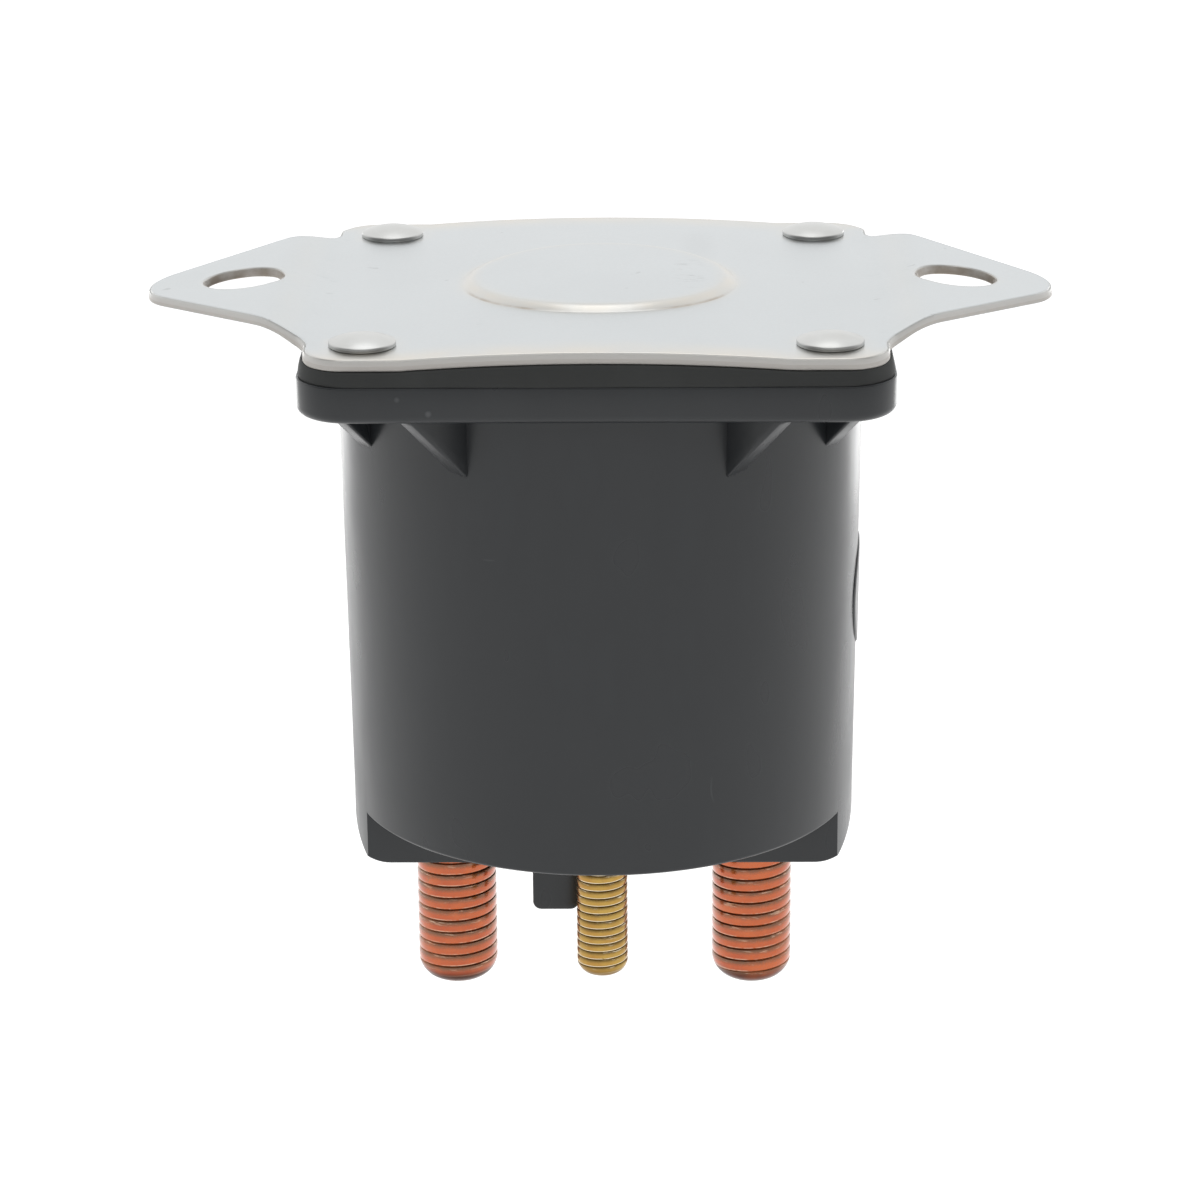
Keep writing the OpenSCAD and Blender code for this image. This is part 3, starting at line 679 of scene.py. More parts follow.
def bevel_between(bm: Mesh, least: float, offset: float, segments: int,
                  test: Callable[[Edge], bool] = lambda edge: True) -> None:
    """Round the sharp edges of a mesh.

    Args:
        bm: the mesh.
        least: the least angle between the faces of such an edge, in degrees.
        offset: how far the rounding reaches from the edge.
        segments: faces across the rounding.
        test: picks the edges.
    """
    limit = math.radians(least)
    edges = [e for e in bm.edges if len(e.link_faces) == 2 and e.calc_face_angle(0.0) > limit
             and test(e)]
    bevel(bm, edges, offset, segments, clamp=True)


def combine(base: Piece, tools: Iterable[Piece], operation: str) -> None:
    """Apply a boolean of each tool to the base, and delete the tools.

    Args:
        base: the piece that is changed.
        tools: what is added to it or cut from it.
        operation: UNION, DIFFERENCE or INTERSECT.
    """
    for tool in tools:
        modifier = base.modifiers.new("combine", "BOOLEAN")
        modifier.operation = operation
        modifier.solver = "EXACT"
        modifier.object = tool
        graph = bpy.context.evaluated_depsgraph_get()
        result = bpy.data.meshes.new_from_object(base.evaluated_get(graph))
        base.modifiers.clear()
        base.data = result
        bpy.data.objects.remove(tool)


def write_attribute(piece: Piece, name: str, rule: Callable[[Vector], float]) -> None:
    """Store a number on each vertex, which the rule gives for its place."""
    layer = piece.data.attributes.new(name, "FLOAT", "POINT")
    layer.data.foreach_set("value", [rule(v.co) for v in piece.data.vertices])


@dataclass(frozen=True)
class RivetPlan:
    """Where the rivets pass through the bracket, the gasket and the flange."""

    at: float = 21.3 * MM
    hole_r: float = 1.65 * MM

    def places(self) -> list[Pair]:
        """Centres of the four holes, seen from above."""
        return [(x * self.at, y * self.at) for x, y in CORNERS]


@dataclass
class BracketShape:
    """Heights of the bent bracket sheet."""

    half: float = 26.65 * MM
    bow_half: float = 17.7 * MM
    bow_drop: float = 0.9 * MM
    end_drop: float = 0.35 * MM
    bend_x: float = 30.8 * MM
    bend_soft: float = 0.9 * MM
    lift: float = 0.36 * MM
    droop: float = math.tan(math.radians(5.5))
    pad_r: float = 13.15 * MM
    pad_top_r: float = 11.75 * MM
    pad_h: float = 0.55 * MM

    def sheet(self, x: float, y: float) -> float:
        """Height of the sheet's top, without its pad.

        Args:
            x: place along the ears.
            y: place across them.

        Returns:
            The height.
        """
        away = abs(x)
        bowed = min(1.0, away / self.bow_half) ** 2
        along = min(1.0, abs(y) / self.half) ** 2
        plate = -self.bow_drop * bowed - self.end_drop * along * (1 - 0.75 * bowed)
        ear = self.lift - (away - self.bend_x) * self.droop
        share = smooth_step(self.half - self.bend_soft, self.bend_x + self.bend_soft, away)
        return plate + (ear - plate) * share

    def top(self, x: float, y: float) -> float:
        """Height of the sheet's top, with its pad.

        Args:
            x: place along the ears.
            y: place across them.

        Returns:
            The height.
        """
        radius = math.hypot(x, y)
        t = (self.pad_r - radius) / (self.pad_r - self.pad_top_r)
        raised = math.sin(min(1.0, max(0.0, t)) * math.pi / 2)
        flat = self.sheet(x, y)
        return flat + self.pad_h * raised


@dataclass
class Bracket:
    """Two-eared bracket stamped from sheet."""

    shape: BracketShape = field(default_factory=BracketShape)
    sheet_t: float = 0.9 * MM
    corner_r: float = 4.0 * MM
    ear_root: float = 20.1 * MM
    ear_neck: float = 16.35 * MM
    ear_fillet: float = 1.45 * MM
    ear_soften: float = 0.5 * MM
    apex_x: float = 45.985 * MM
    apex_offset: float = 6.5 * MM
    hole_x: float = 34.2 * MM
    hole_r: float = 3.7 * MM
    plan: RivetPlan = RivetPlan()
    rim_r: float = 0.44 * MM
    under_rim_r: float = 0.1 * MM
    rim_rings: int = 5
    press: float = 0.17 * MM
    pad_rings: int = 14
    pad_margin: Pair = (0.3 * MM, 0.2 * MM)
    slice_step: float = 0.95 * MM
    slice_phase: float = 0.37
    slice_gap: float = 0.3 * MM

    def outline(self, bm: Mesh) -> list[Edge]:
        """Add the outer outline, with its corners rounded, and return its edges."""
        half, bend = self.shape.half, self.shape.bend_x
        quarter = [(half, half, self.corner_r), (half, self.ear_root, self.ear_fillet),
                   (bend, self.ear_neck, self.ear_soften)]
        right = quarter + [(self.apex_x, 0.0, self.apex_offset)]
        right += [(x, -y, r) for x, y, r in reversed(quarter)]
        places = right + [(-x, y, r) for x, y, r in reversed(right)]
        verts = [bm.verts.new((x, y, 0.0)) for x, y, _ in places]
        bm.faces.new(verts)
        for radius in sorted({r for _, _, r in places}):
            chosen = [v for v, (_, _, r) in zip(verts, places) if r == radius]
            bevel(bm, chosen, radius, 16, "VERTICES")
        bm.faces.ensure_lookup_table()
        face = bm.faces[0]
        edges = list(face.edges)
        bmesh.ops.delete(bm, geom=[face], context="FACES_ONLY")
        return edges

    def build(self, finishes: Finishes) -> Piece:
        """Make the bracket.

        Args:
            finishes: the materials.

        Returns:
            The piece that replaces the bracket node.
        """
        bm = bmesh.new()
        loops = self.outline(bm)
        for side in SIDES:
            loops += ring(bm, side * self.hole_x, 0.0, self.hole_r, 72)
        for x, y in self.plan.places():
            loops += ring(bm, x, y, self.plan.hole_r, 24)
        shape = self.shape
        disc = bmesh.ops.create_circle(bm, cap_ends=True, segments=144,
                                       radius=shape.pad_r + sum(self.pad_margin))
        pad = disc["verts"][0].link_faces[0]
        loops += list(pad.edges)
        bmesh.ops.triangle_fill(bm, use_beauty=True, use_dissolve=False, edges=loops)
        width = (shape.pad_r - shape.pad_top_r) / self.pad_rings
        inset(bm, pad, (*self.pad_margin, *[width] * self.pad_rings))
        outwards(bm)
        drop = self.round_rim(bm)
        self.slice_up(bm)
        self.thicken(bm, drop)
        piece = finish_mesh(bm, "bracket_sheet")
        write_attribute(piece, WARM, self.warm_share)
        write_attribute(piece, FOOT_SHADE, self.foot_shade_share)
        return settle(piece, finishes, "stainless_sheet", Body.BASE, "mounting_bracket")

    def round_rim(self, bm: Mesh) -> bmesh.types.BMLayerItem:
        """Add rings of faces along every rim, each with how far it drops.

        Args:
            bm: the flat sheet.

        Returns:
            The layer that holds the drop of each vertex.
        """
        drop = bm.verts.layers.float.new("drop")
        for v in {v for e in bm.edges if e.is_boundary for v in e.verts}:
            v[drop] = self.rim_r
        step = self.rim_r / self.rim_rings
        inner = bm.faces[:]
        for count in range(1, self.rim_rings + 2):
            before = set(bm.verts)
            bmesh.ops.inset_region(bm, faces=inner, thickness=step, use_even_offset=True,
                                   use_boundary=True)
            inward = max(0.0, 1 - count / self.rim_rings)
            for v in set(bm.verts) - before:
                v[drop] = self.rim_r * (1 - math.sqrt(1 - inward ** 2))
            border = {v for e in bm.edges if e.is_boundary for v in e.verts}
            inner = self.inside(bm, border, count)
        return drop

    def inside(self, bm: Mesh, border: set, rings: int) -> list[bmesh.types.BMFace]:
        """Find the faces that lie further in than some rings of faces.

        Args:
            bm: the sheet.
            border: vertices of its rims.
            rings: the number of rings to leave out.

        Returns:
            The other faces.
        """
        seen, outer = set(border), set()
        for _ in range(rings):
            touching = {f for v in seen for f in v.link_faces if f not in outer
                        and len(f.verts) == 4 and sum(u in seen for u in f.verts) >= 2}
            outer |= touching
            seen = {v for f in touching for v in f.verts}
        return [f for f in bm.faces if f not in outer]

    def slice_up(self, bm: Mesh) -> None:
        """Cut the flat sheet into strips, so that it can bend."""
        count = int(self.apex_x / self.slice_step)
        for normal in ((1, 0, 0), (0, 1, 0)):
            for i in range(-count, count + 1):
                offset = (i + self.slice_phase) * self.slice_step
                past = abs(offset) - self.shape.half
                if abs(past) < self.slice_gap or (normal[1] and past > 0):
                    continue
                bmesh.ops.bisect_plane(bm, geom=bm.verts[:] + bm.edges[:] + bm.faces[:],
                                       dist=0.002 * MM, plane_no=normal,
                                       plane_co=Vector(normal) * offset)

    def thicken(self, bm: Mesh, drop: bmesh.types.BMLayerItem) -> None:
        """Give the sheet its thickness and bend it."""
        depth = bm.verts.layers.float.new(DEPTH)
        for v in extruded(bm):
            v[depth] = 1.0
        for v in bm.verts:
            x, y = v.co.x, v.co.y
            v.co.z = self.shape.top(x, y) - v[drop]
            if v[depth] > 0.5:
                plate = smooth_step(self.shape.half + 3.0 * MM, self.shape.half + 0.6 * MM, abs(x))
                v.co.z = (self.shape.top(x, y) - self.sheet_t - self.press * plate
                          + v[drop] * self.under_rim_r / self.rim_r)

    def warm_share(self, place: Vector) -> float:
        """How strongly the sheet is tinted at a place.

        Args:
            place: the place.

        Returns:
            A share, from 0 to 1.
        """
        foot = bell(math.hypot(place.x, place.y), self.shape.pad_r - 0.55 * MM, 0.8 * MM)
        rivet = math.hypot(abs(place.x) - self.plan.at, abs(place.y) - self.plan.at)
        head = bell(rivet, 3.3 * MM, 0.5 * MM)
        bend = bell(abs(place.x), 29.0 * MM, 1.3 * MM)
        lip = bell(self.from_hole(place), self.hole_r, 0.45 * MM)
        rim = smooth_step(self.shape.half - 5.0 * MM, self.shape.half, abs(place.y))
        return min(1.0, 0.9 * foot + 0.4 * head + 0.15 * bend + 0.4 * lip + 0.9 * rim)

    def from_hole(self, place: Vector) -> float:
        """Distance from the axis of the nearer ear hole."""
        return math.hypot(abs(place.x) - self.hole_x, place.y)

    def foot_shade_share(self, place: Vector) -> float:
        """How strongly painted shade darkens the pad's foot and the walls of the ear holes at a place.

        Args:
            place: the place.

        Returns:
            A share, from 0 to 1.
        """
        foot = bell(math.hypot(place.x, place.y), self.shape.pad_r, 0.13 * MM)
        sides = (smooth_step(5.0 * MM, 7.0 * MM, abs(place.x))
                 * smooth_step(12.9 * MM, 11.5 * MM, abs(place.x)))
        wall = smooth_step(self.hole_r + 0.3 * MM, self.hole_r + 0.05 * MM, self.from_hole(place))
        return max(wall, foot * sides if place.y < 0 else 0.0)


@dataclass
class Rivets:
    """Four domed rivets that hold the bracket to the flange."""

    shape: BracketShape = field(default_factory=BracketShape)
    plan: RivetPlan = RivetPlan()
    head_r: float = 3.1 * MM
    rim_h: float = 0.48 * MM
    dome_h: float = 0.62 * MM
    shank_r: float = 1.6 * MM
    tail_r: float = 2.5 * MM
    tail_t: float = 0.8 * MM
    flange_bottom: float = -6.85 * MM
    rim_round: float = 0.18 * MM
    foot_round: float = 0.1 * MM
    tail_round: float = 0.25 * MM
    dome_steps: int = 14
    twist: float = 0.7

    def build(self, finishes: Finishes) -> Piece:
        """Make the rivets as one piece of four solids.

        Args:
            finishes: the materials.

        Returns:
            The piece.
        """
        whole = bmesh.new()
        sheet, at = self.shape.sheet, self.plan.at
        for index, (x, y) in enumerate(CORNERS):
            seat = sheet(x * at, y * at)
            lift = sheet((at + self.head_r) * x, y * at) - sheet((at - self.head_r) * x, y * at)
            bm = spun(self.profile(seat), 64)
            lean = Matrix.Rotation(-x * lift / (2 * self.head_r), 4, "Y")
            foot = Vector((0, 0, seat))
            for v in bm.verts:
                if v.co.z > seat - self.rim_h:
                    v.co = lean @ (v.co - foot) + foot
            bmesh.ops.rotate(bm, verts=bm.verts[:], cent=(0, 0, 0),
                             matrix=Matrix.Rotation(self.twist * index, 3, "Z"))
            move(bm, x * at, y * at)
            part = bpy.data.meshes.new("rivet")
            bm.to_mesh(part)
            bm.free()
            whole.from_mesh(part)
            bpy.data.meshes.remove(part)
        piece = finish_mesh(whole, "rivets_domed")
        return settle(piece, finishes, "rivet_steel", Body.BASE, "bracket_rivets")

    def profile(self, seat: float) -> list[Pair]:
        """Outline of a rivet, from the top of its dome to the end of its tail.

        Args:
            seat: height of the sheet under the head.

        Returns:
            Points of (radius, height).
        """
        dome_r = self.head_r - self.rim_round
        ball = (dome_r ** 2 + self.dome_h ** 2) / (2 * self.dome_h)
        top = seat + self.rim_h + self.dome_h
        reach = math.degrees(math.asin(dome_r / ball))
        dome = arc((0.0, top - ball), ball, 90, 90 - reach, self.dome_steps)
        dome[0] = (0.0, top)
        rim = arc((dome_r, seat + self.rim_h - self.rim_round), self.rim_round, 70, 0, 4)
        soft = self.foot_round
        foot = arc((self.head_r - soft, seat + soft), soft, 0, -90, 3)
        end = self.flange_bottom - self.tail_t
        soft = self.tail_round
        tail = arc((self.tail_r - soft, end + soft), soft, 0, -90, 5)
        shank = [(self.shank_r, seat), (self.shank_r, self.flange_bottom),
                 (self.tail_r, self.flange_bottom)]
        return dome + rim[1:] + foot + shank + tail + [(0.0, end)]


@dataclass
class Gasket:
    """Rubber gasket between the bracket and the flange."""

    shape: BracketShape = field(default_factory=BracketShape)
    half: float = 26.95 * MM
    corner_r: float = 5.0 * MM
    hole_r: float = 22.8 * MM
    top_gap: float = 1.07 * MM
    bottom: float = -3.4 * MM
    slant: float = 0.34 * MM
    bulge: float = 0.05 * MM
    waves: tuple[Triple, ...] = ((0.02 * MM, 410, 330), (0.01 * MM, 1130, -970))
    edge_soft: float = 0.06 * MM
    edge_share: float = 0.07
    plan: RivetPlan = RivetPlan()

    def build(self, finishes: Finishes) -> Piece:
        """Make the gasket.

        Args:
            finishes: the materials.

        Returns:
            The piece that replaces the gasket node.
        """
        bm = bmesh.new()
        face = round_square(bm, self.half, self.corner_r, 0.0)
        loops = list(face.edges)
        bmesh.ops.delete(bm, geom=[face], context="FACES_ONLY")
        loops += ring(bm, 0.0, 0.0, self.hole_r, 120)
        for x, y in self.plan.places():
            loops += ring(bm, x, y, self.plan.hole_r, 24)
        bmesh.ops.subdivide_edges(bm, edges=[e for e in loops if e.calc_length() > 4 * MM],
                                  cuts=48, use_grid_fill=False)
        bmesh.ops.triangle_fill(bm, use_beauty=True, use_dissolve=False, edges=bm.edges[:])
        outwards(bm)
        depth = bm.verts.layers.float.new(DEPTH)
        for v in extruded(bm):
            v[depth] = 1.0
        walls = [e for e in bm.edges if abs(e.verts[0][depth] - e.verts[1][depth]) > 0.5]
        bmesh.ops.subdivide_edges(bm, edges=walls, cuts=9, use_grid_fill=True)
        for v in bm.verts:
            self.place(v, v[depth])
        piece = finish_mesh(bm, "gasket_rubber_ring")
        return settle(piece, finishes, "gasket_rubber", Body.BASE, "flange_gasket")

    def place(self, v: Vert, depth: float) -> None:
        """Give a vertex of the flat ring its height, and one of the outer side its bulge.

        Args:
            v: the vertex.
            depth: how far down the side it lies, from 0 to 1.
        """
        x, y = v.co.x, v.co.y
        top = self.shape.sheet(x, y) - self.top_gap
        v.co.z = top + (self.bottom - top) * depth
        straight = self.half - self.corner_r
        in_corner = math.hypot(max(0.0, abs(x) - straight), max(0.0, abs(y) - straight))
        if max(abs(x), abs(y)) <= self.half - self.corner_r * 0.3 and in_corner <= self.corner_r * 0.98:
            return
        ends = max(0.0, 1 - depth / self.edge_share) + max(0.0, 1 - (1 - depth) / self.edge_share)
        swell = (self.slant * depth + self.bulge * math.sin(math.pi * depth)
                 - self.edge_soft * ends)
        wave = sum(high * math.sin(x * along + y * across) for high, along, across in self.waves)
        v.co += Vector((x, y, 0)).normalized() * (swell + wave * depth)
        v.co.z += wave * (1 - depth) * depth * 1.2


@dataclass
class Housing:
    """Moulded housing: flange, body, gussets, slab and barrier tab."""

    flange_half: float = 27.35 * MM
    flange_corner: float = 5.0 * MM
    flange_top: float = -3.4 * MM
    flange_bottom: float = -6.85 * MM
    top_r: float = 25.4 * MM
    rim_r: float = 24.88 * MM
    rim_z: float = -51.9 * MM
    rim_fillet: float = 0.4 * MM
    flange_soft: float = 0.12 * MM
    flange_round: float = 0.85 * MM
    soft: float = 0.2 * MM
    slab_z: float = -57.0 * MM
    slab_half: float = 9.25 * MM
    slab_foot: float = 4.0 * MM
    tab_reach: float = 6.9 * MM
    tab_w: float = 4.5 * MM
    tab_z: float = -62.0 * MM
    tab_soft: float = 0.18 * MM
    tab_foot: float = 0.8 * MM
    gusset_t: float = 2.0 * MM
    gusset_offset: float = 6.4 * MM
    gusset_drop: float = 6.3 * MM
    land_r: float = 5.5 * MM
    land_h: float = 0.15 * MM
    land_z: float = -31.3 * MM
    bore_r: float = 22.6 * MM
    chamber_r: float = 21.7 * MM
    ledge_z: float = -33.0 * MM
    floor_z: float = -46.5 * MM
    pocket_r: float = 5.0 * MM
    pocket_z: float = -53.5 * MM
    main_x: float = 14.9 * MM
    main_hole_r: float = 4.25 * MM
    main_seat_r: float = 5.65 * MM
    main_seat_z: float = -48.9 * MM
    main_pocket_half: float = 5.75 * MM
    main_pocket_z: float = -47.5 * MM
    control_y: float = 13.1 * MM
    control_hole_r: float = 2.75 * MM
    control_seat_r: float = 3.65 * MM
    control_seat_z: float = -47.9 * MM
    lug_ring_r: float = 3.65 * MM
    lug_half: float = 1.35 * MM
    lug_reach: float = 20.85 * MM
    lug_z: float = -47.0 * MM
    rivet_depth: float = 9.0 * MM
    overlap: float = 0.5 * MM
    plan: RivetPlan = RivetPlan()
    steps: int = 224

    def body(self) -> Piece:
        """Tapered round body with its rim fillet."""
        fillet = arc((self.rim_r - self.rim_fillet, self.rim_z + self.rim_fillet),
                     self.rim_fillet, 0, -90, 10)
        top = self.flange_top - self.overlap
        bottom = self.rim_z + self.rim_fillet
        rows = [(self.top_r + (self.rim_r - self.top_r) * i / 12, top + (bottom - top) * i / 12)
                for i in range(12)]
        profile = [(0.0, top), *rows, *fillet, (0.0, self.rim_z)]
        return finish_mesh(spun(profile, self.steps), "housing_moulded")

    def flange(self) -> Piece:
        """Square flange with softened edges."""
        bm = bmesh.new()
        round_square(bm, self.flange_half, self.flange_corner, self.flange_top, 24)
        bmesh.ops.translate(bm, verts=extruded(bm),
                            vec=(0, 0, self.flange_bottom - self.flange_top))
        outwards(bm)
        middle = (self.flange_top + self.flange_bottom) / 2
        bevel_between(bm, 60, self.flange_soft, 4, lambda e: min(v.co.z for v in e.verts) > middle)
        bevel_between(bm, 60, self.flange_round, 8, lambda e: max(v.co.z for v in e.verts) < middle)
        return finish_mesh(bm, "flange")

    def gusset(self, turn: float, side: int) -> Piece:
        """Make one triangular web under the flange.

        Args:
            turn: angle of its pair round the axis.
            side: which of the pair, -1 or 1.

        Returns:
            The web.
        """
        root = math.sqrt(self.top_r ** 2 - self.gusset_offset ** 2)
        inner = root - 1.2 * MM
        outer = root + self.gusset_drop - 0.1 * MM
        under = self.flange_bottom
        low = under - self.gusset_drop - 0.15 * MM
        points = [(inner, under + 1.0 * MM), (outer, under + 1.0 * MM), (outer, under - 0.1 * MM),
                  (root - 0.25 * MM, low), (inner, low)]
        bm = bmesh.new()
        y = side * self.gusset_offset - self.gusset_t / 2
        bm.faces.new([bm.verts.new((x, y, z)) for x, z in points])
        bmesh.ops.translate(bm, verts=extruded(bm), vec=(0, self.gusset_t, 0))
        outwards(bm)
        bevel_between(bm, 30, self.soft, 3)
        bmesh.ops.rotate(bm, verts=bm.verts[:], cent=(0, 0, 0),
                         matrix=Matrix.Rotation(turn, 3, "Z"))
        return finish_mesh(bm, "gusset")

    def slab(self) -> Piece:
        """Terminal slab: a bar with round lower ends, kept inside the round rim."""
        top = self.rim_z + 2.0 * MM
        reach = self.rim_r
        bar = self.block((-reach, -self.slab_half, self.slab_z), (reach, self.slab_half, top),
                         self.soft, self.slab_foot, 16)
        low = self.slab_z - 1.0 * MM
        disc = finish_mesh(spun([(0.0, top + 1.0 * MM), (reach, top + 1.0 * MM), (reach, low),
                                 (0.0, low)], self.steps), "disc")
        combine(bar, [disc], "INTERSECT")
        return bar

    def block(self, low: Triple, high: Triple, soft: float, foot: float,
              segments: int) -> Piece:
        """Box with soft edges, and rounder lower ones along Y.

        Args:
            low: its lowest corner.
            high: its highest corner.
            soft: radius of its edges.
            foot: radius of the two lower edges along Y.
            segments: faces of each of those two.

        Returns:
            The box.
        """
        bm = bmesh.new()
        box(bm, low, high)
        length, middle = high[1] - low[1], (low[2] + high[2]) / 2
        lower = [e for e in bm.edges if abs(e.verts[0].co.y - e.verts[1].co.y) > length / 2
                 and e.verts[0].co.z < middle]
        bevel(bm, lower, foot, segments)
        bevel_between(bm, 60, soft, 3)
        return finish_mesh(bm, "block")

    def pocket(self, low: Triple, high: Triple) -> Piece:
        """Plain box, to cut a pocket."""
        bm = bmesh.new()
        box(bm, low, high)
        return finish_mesh(bm, "pocket")

    def land(self) -> Piece:
        """Plain round land on the side, a little proud of the body."""
        bm = bmesh.new()
        turn = Matrix.Rotation(math.pi / 2, 4, "Y")
        bmesh.ops.create_circle(bm, cap_ends=True, segments=72, radius=self.land_r, matrix=turn)
        bm.faces.ensure_lookup_table()
        inset(bm, bm.faces[0], (0.05 * MM, 0.05 * MM, 0.08 * MM, *[0.6 * MM] * 8))
        inner = set(extruded(bm))
        for v in bm.verts:
            height = v.co.z
            radius = math.hypot(v.co.y, height)
            share = (self.flange_bottom - self.land_z - height) / (self.flange_bottom - self.rim_z)
            round_r = self.top_r + (self.rim_r - self.top_r) * share
            edge = 1 - smooth_step(self.land_r - 0.2 * MM, self.land_r, radius)
            proud = self.land_h * (0.35 + 0.65 * edge) if v not in inner else -1.0 * MM
            v.co.x = math.sqrt((round_r + proud) ** 2 - v.co.y ** 2)
            v.co.z = height + self.land_z
        outwards(bm)
        return finish_mesh(bm, "land")

    def cavity(self) -> Piece:
        """Everything that is hollow round the axis."""
        top = 2.0 * MM
        profile = [(0.0, top), (self.bore_r, top), (self.bore_r, self.ledge_z),
                   (self.chamber_r, self.ledge_z), (self.chamber_r, self.floor_z),
                   (self.pocket_r, self.floor_z), (self.pocket_r, self.pocket_z),
                   (0.0, self.pocket_z)]
        return finish_mesh(spun(profile, 128), "cavity")

    def bore(self, x: float, y: float, profile: list[Pair], steps: int) -> Piece:
        """Turned cutter that stands at (x, y)."""
        bm = spun(profile, steps)
        move(bm, x, y)
        return finish_mesh(bm, "bore")

    def stepped_hole(self, x: float, y: float, hole_r: float, seat_r: float,
                     seat_z: float) -> Piece:
        """Make the cutter of a stud hole with the seat of its seal.

        Args:
            x: place of the hole.
            y: place of the hole.
            hole_r: radius of the hole.
            seat_r: radius of the seat.
            seat_z: height of the seat.

        Returns:
            The cutter.
        """
        low, high = self.tab_z, self.floor_z + self.overlap
        return self.bore(x, y, [(0.0, high), (seat_r, high), (seat_r, seat_z), (hole_r, seat_z),
                                (hole_r, low), (0.0, low)], 64)

    def additions(self) -> list[Piece]:
        """Everything that is joined to the round body."""
        made = [self.flange(), self.slab(), self.land()]
        made += [self.gusset(math.radians(turn), side) for turn in (45, 135, 225, 315)
                 for side in SIDES]
        depth = self.slab_half - 0.05 * MM
        low = (-self.tab_reach, -depth, self.tab_z)
        high = (self.tab_w - self.tab_reach, depth, self.slab_z + 2 * MM)
        return made + [self.block(low, high, self.tab_soft, self.tab_foot, 6)]

    def cuts(self) -> list[Piece]:
        """Everything that is cut from the mouldings."""
        made = [self.cavity()]
        made += [self.stepped_hole(side * self.main_x, 0, self.main_hole_r, self.main_seat_r,
                                   self.main_seat_z) for side in SIDES]
        made += [self.stepped_hole(0, side * self.control_y, self.control_hole_r,
                                   self.control_seat_r, self.control_seat_z) for side in SIDES]
        above, wide = self.floor_z + self.overlap, self.main_pocket_half
        for side in SIDES:
            middle = side * self.main_x
            made.append(self.pocket((middle - wide, -wide, self.main_pocket_z),
                                    (middle + wide, wide, above)))
            reach = sorted((side * self.control_y, side * self.lug_reach))
            made.append(self.pocket((-self.lug_half, reach[0], self.lug_z),
                                    (self.lug_half, reach[1], above)))
            made.append(self.stepped_hole(0, side * self.control_y, self.control_hole_r,
                                          self.lug_ring_r, self.lug_z))
        radius, low = self.plan.hole_r, -self.rivet_depth
        return made + [self.bore(x, y, [(0.0, 0.0), (radius, 0.0), (radius, low), (0.0, low)], 24)
                       for x, y in self.plan.places()]

    def build(self, finishes: Finishes) -> Piece:
        """Join the mouldings and cut the cavities.

        Args:
            finishes: the materials.

        Returns:
            The piece that replaces the housing node.
        """
        piece = self.body()
        combine(piece, self.additions(), "UNION")
        combine(piece, self.cuts(), "DIFFERENCE")
        bm = bmesh.new()
        bm.from_mesh(piece.data)
        bpy.data.objects.remove(piece)
        bmesh.ops.triangulate(bm, faces=[f for f in bm.faces if len(f.verts) > 4])
        whole = finish_mesh(bm, "housing_moulded", recalc=False)
        return settle(whole, finishes, "black_plastic", Body.BASE, "housing")


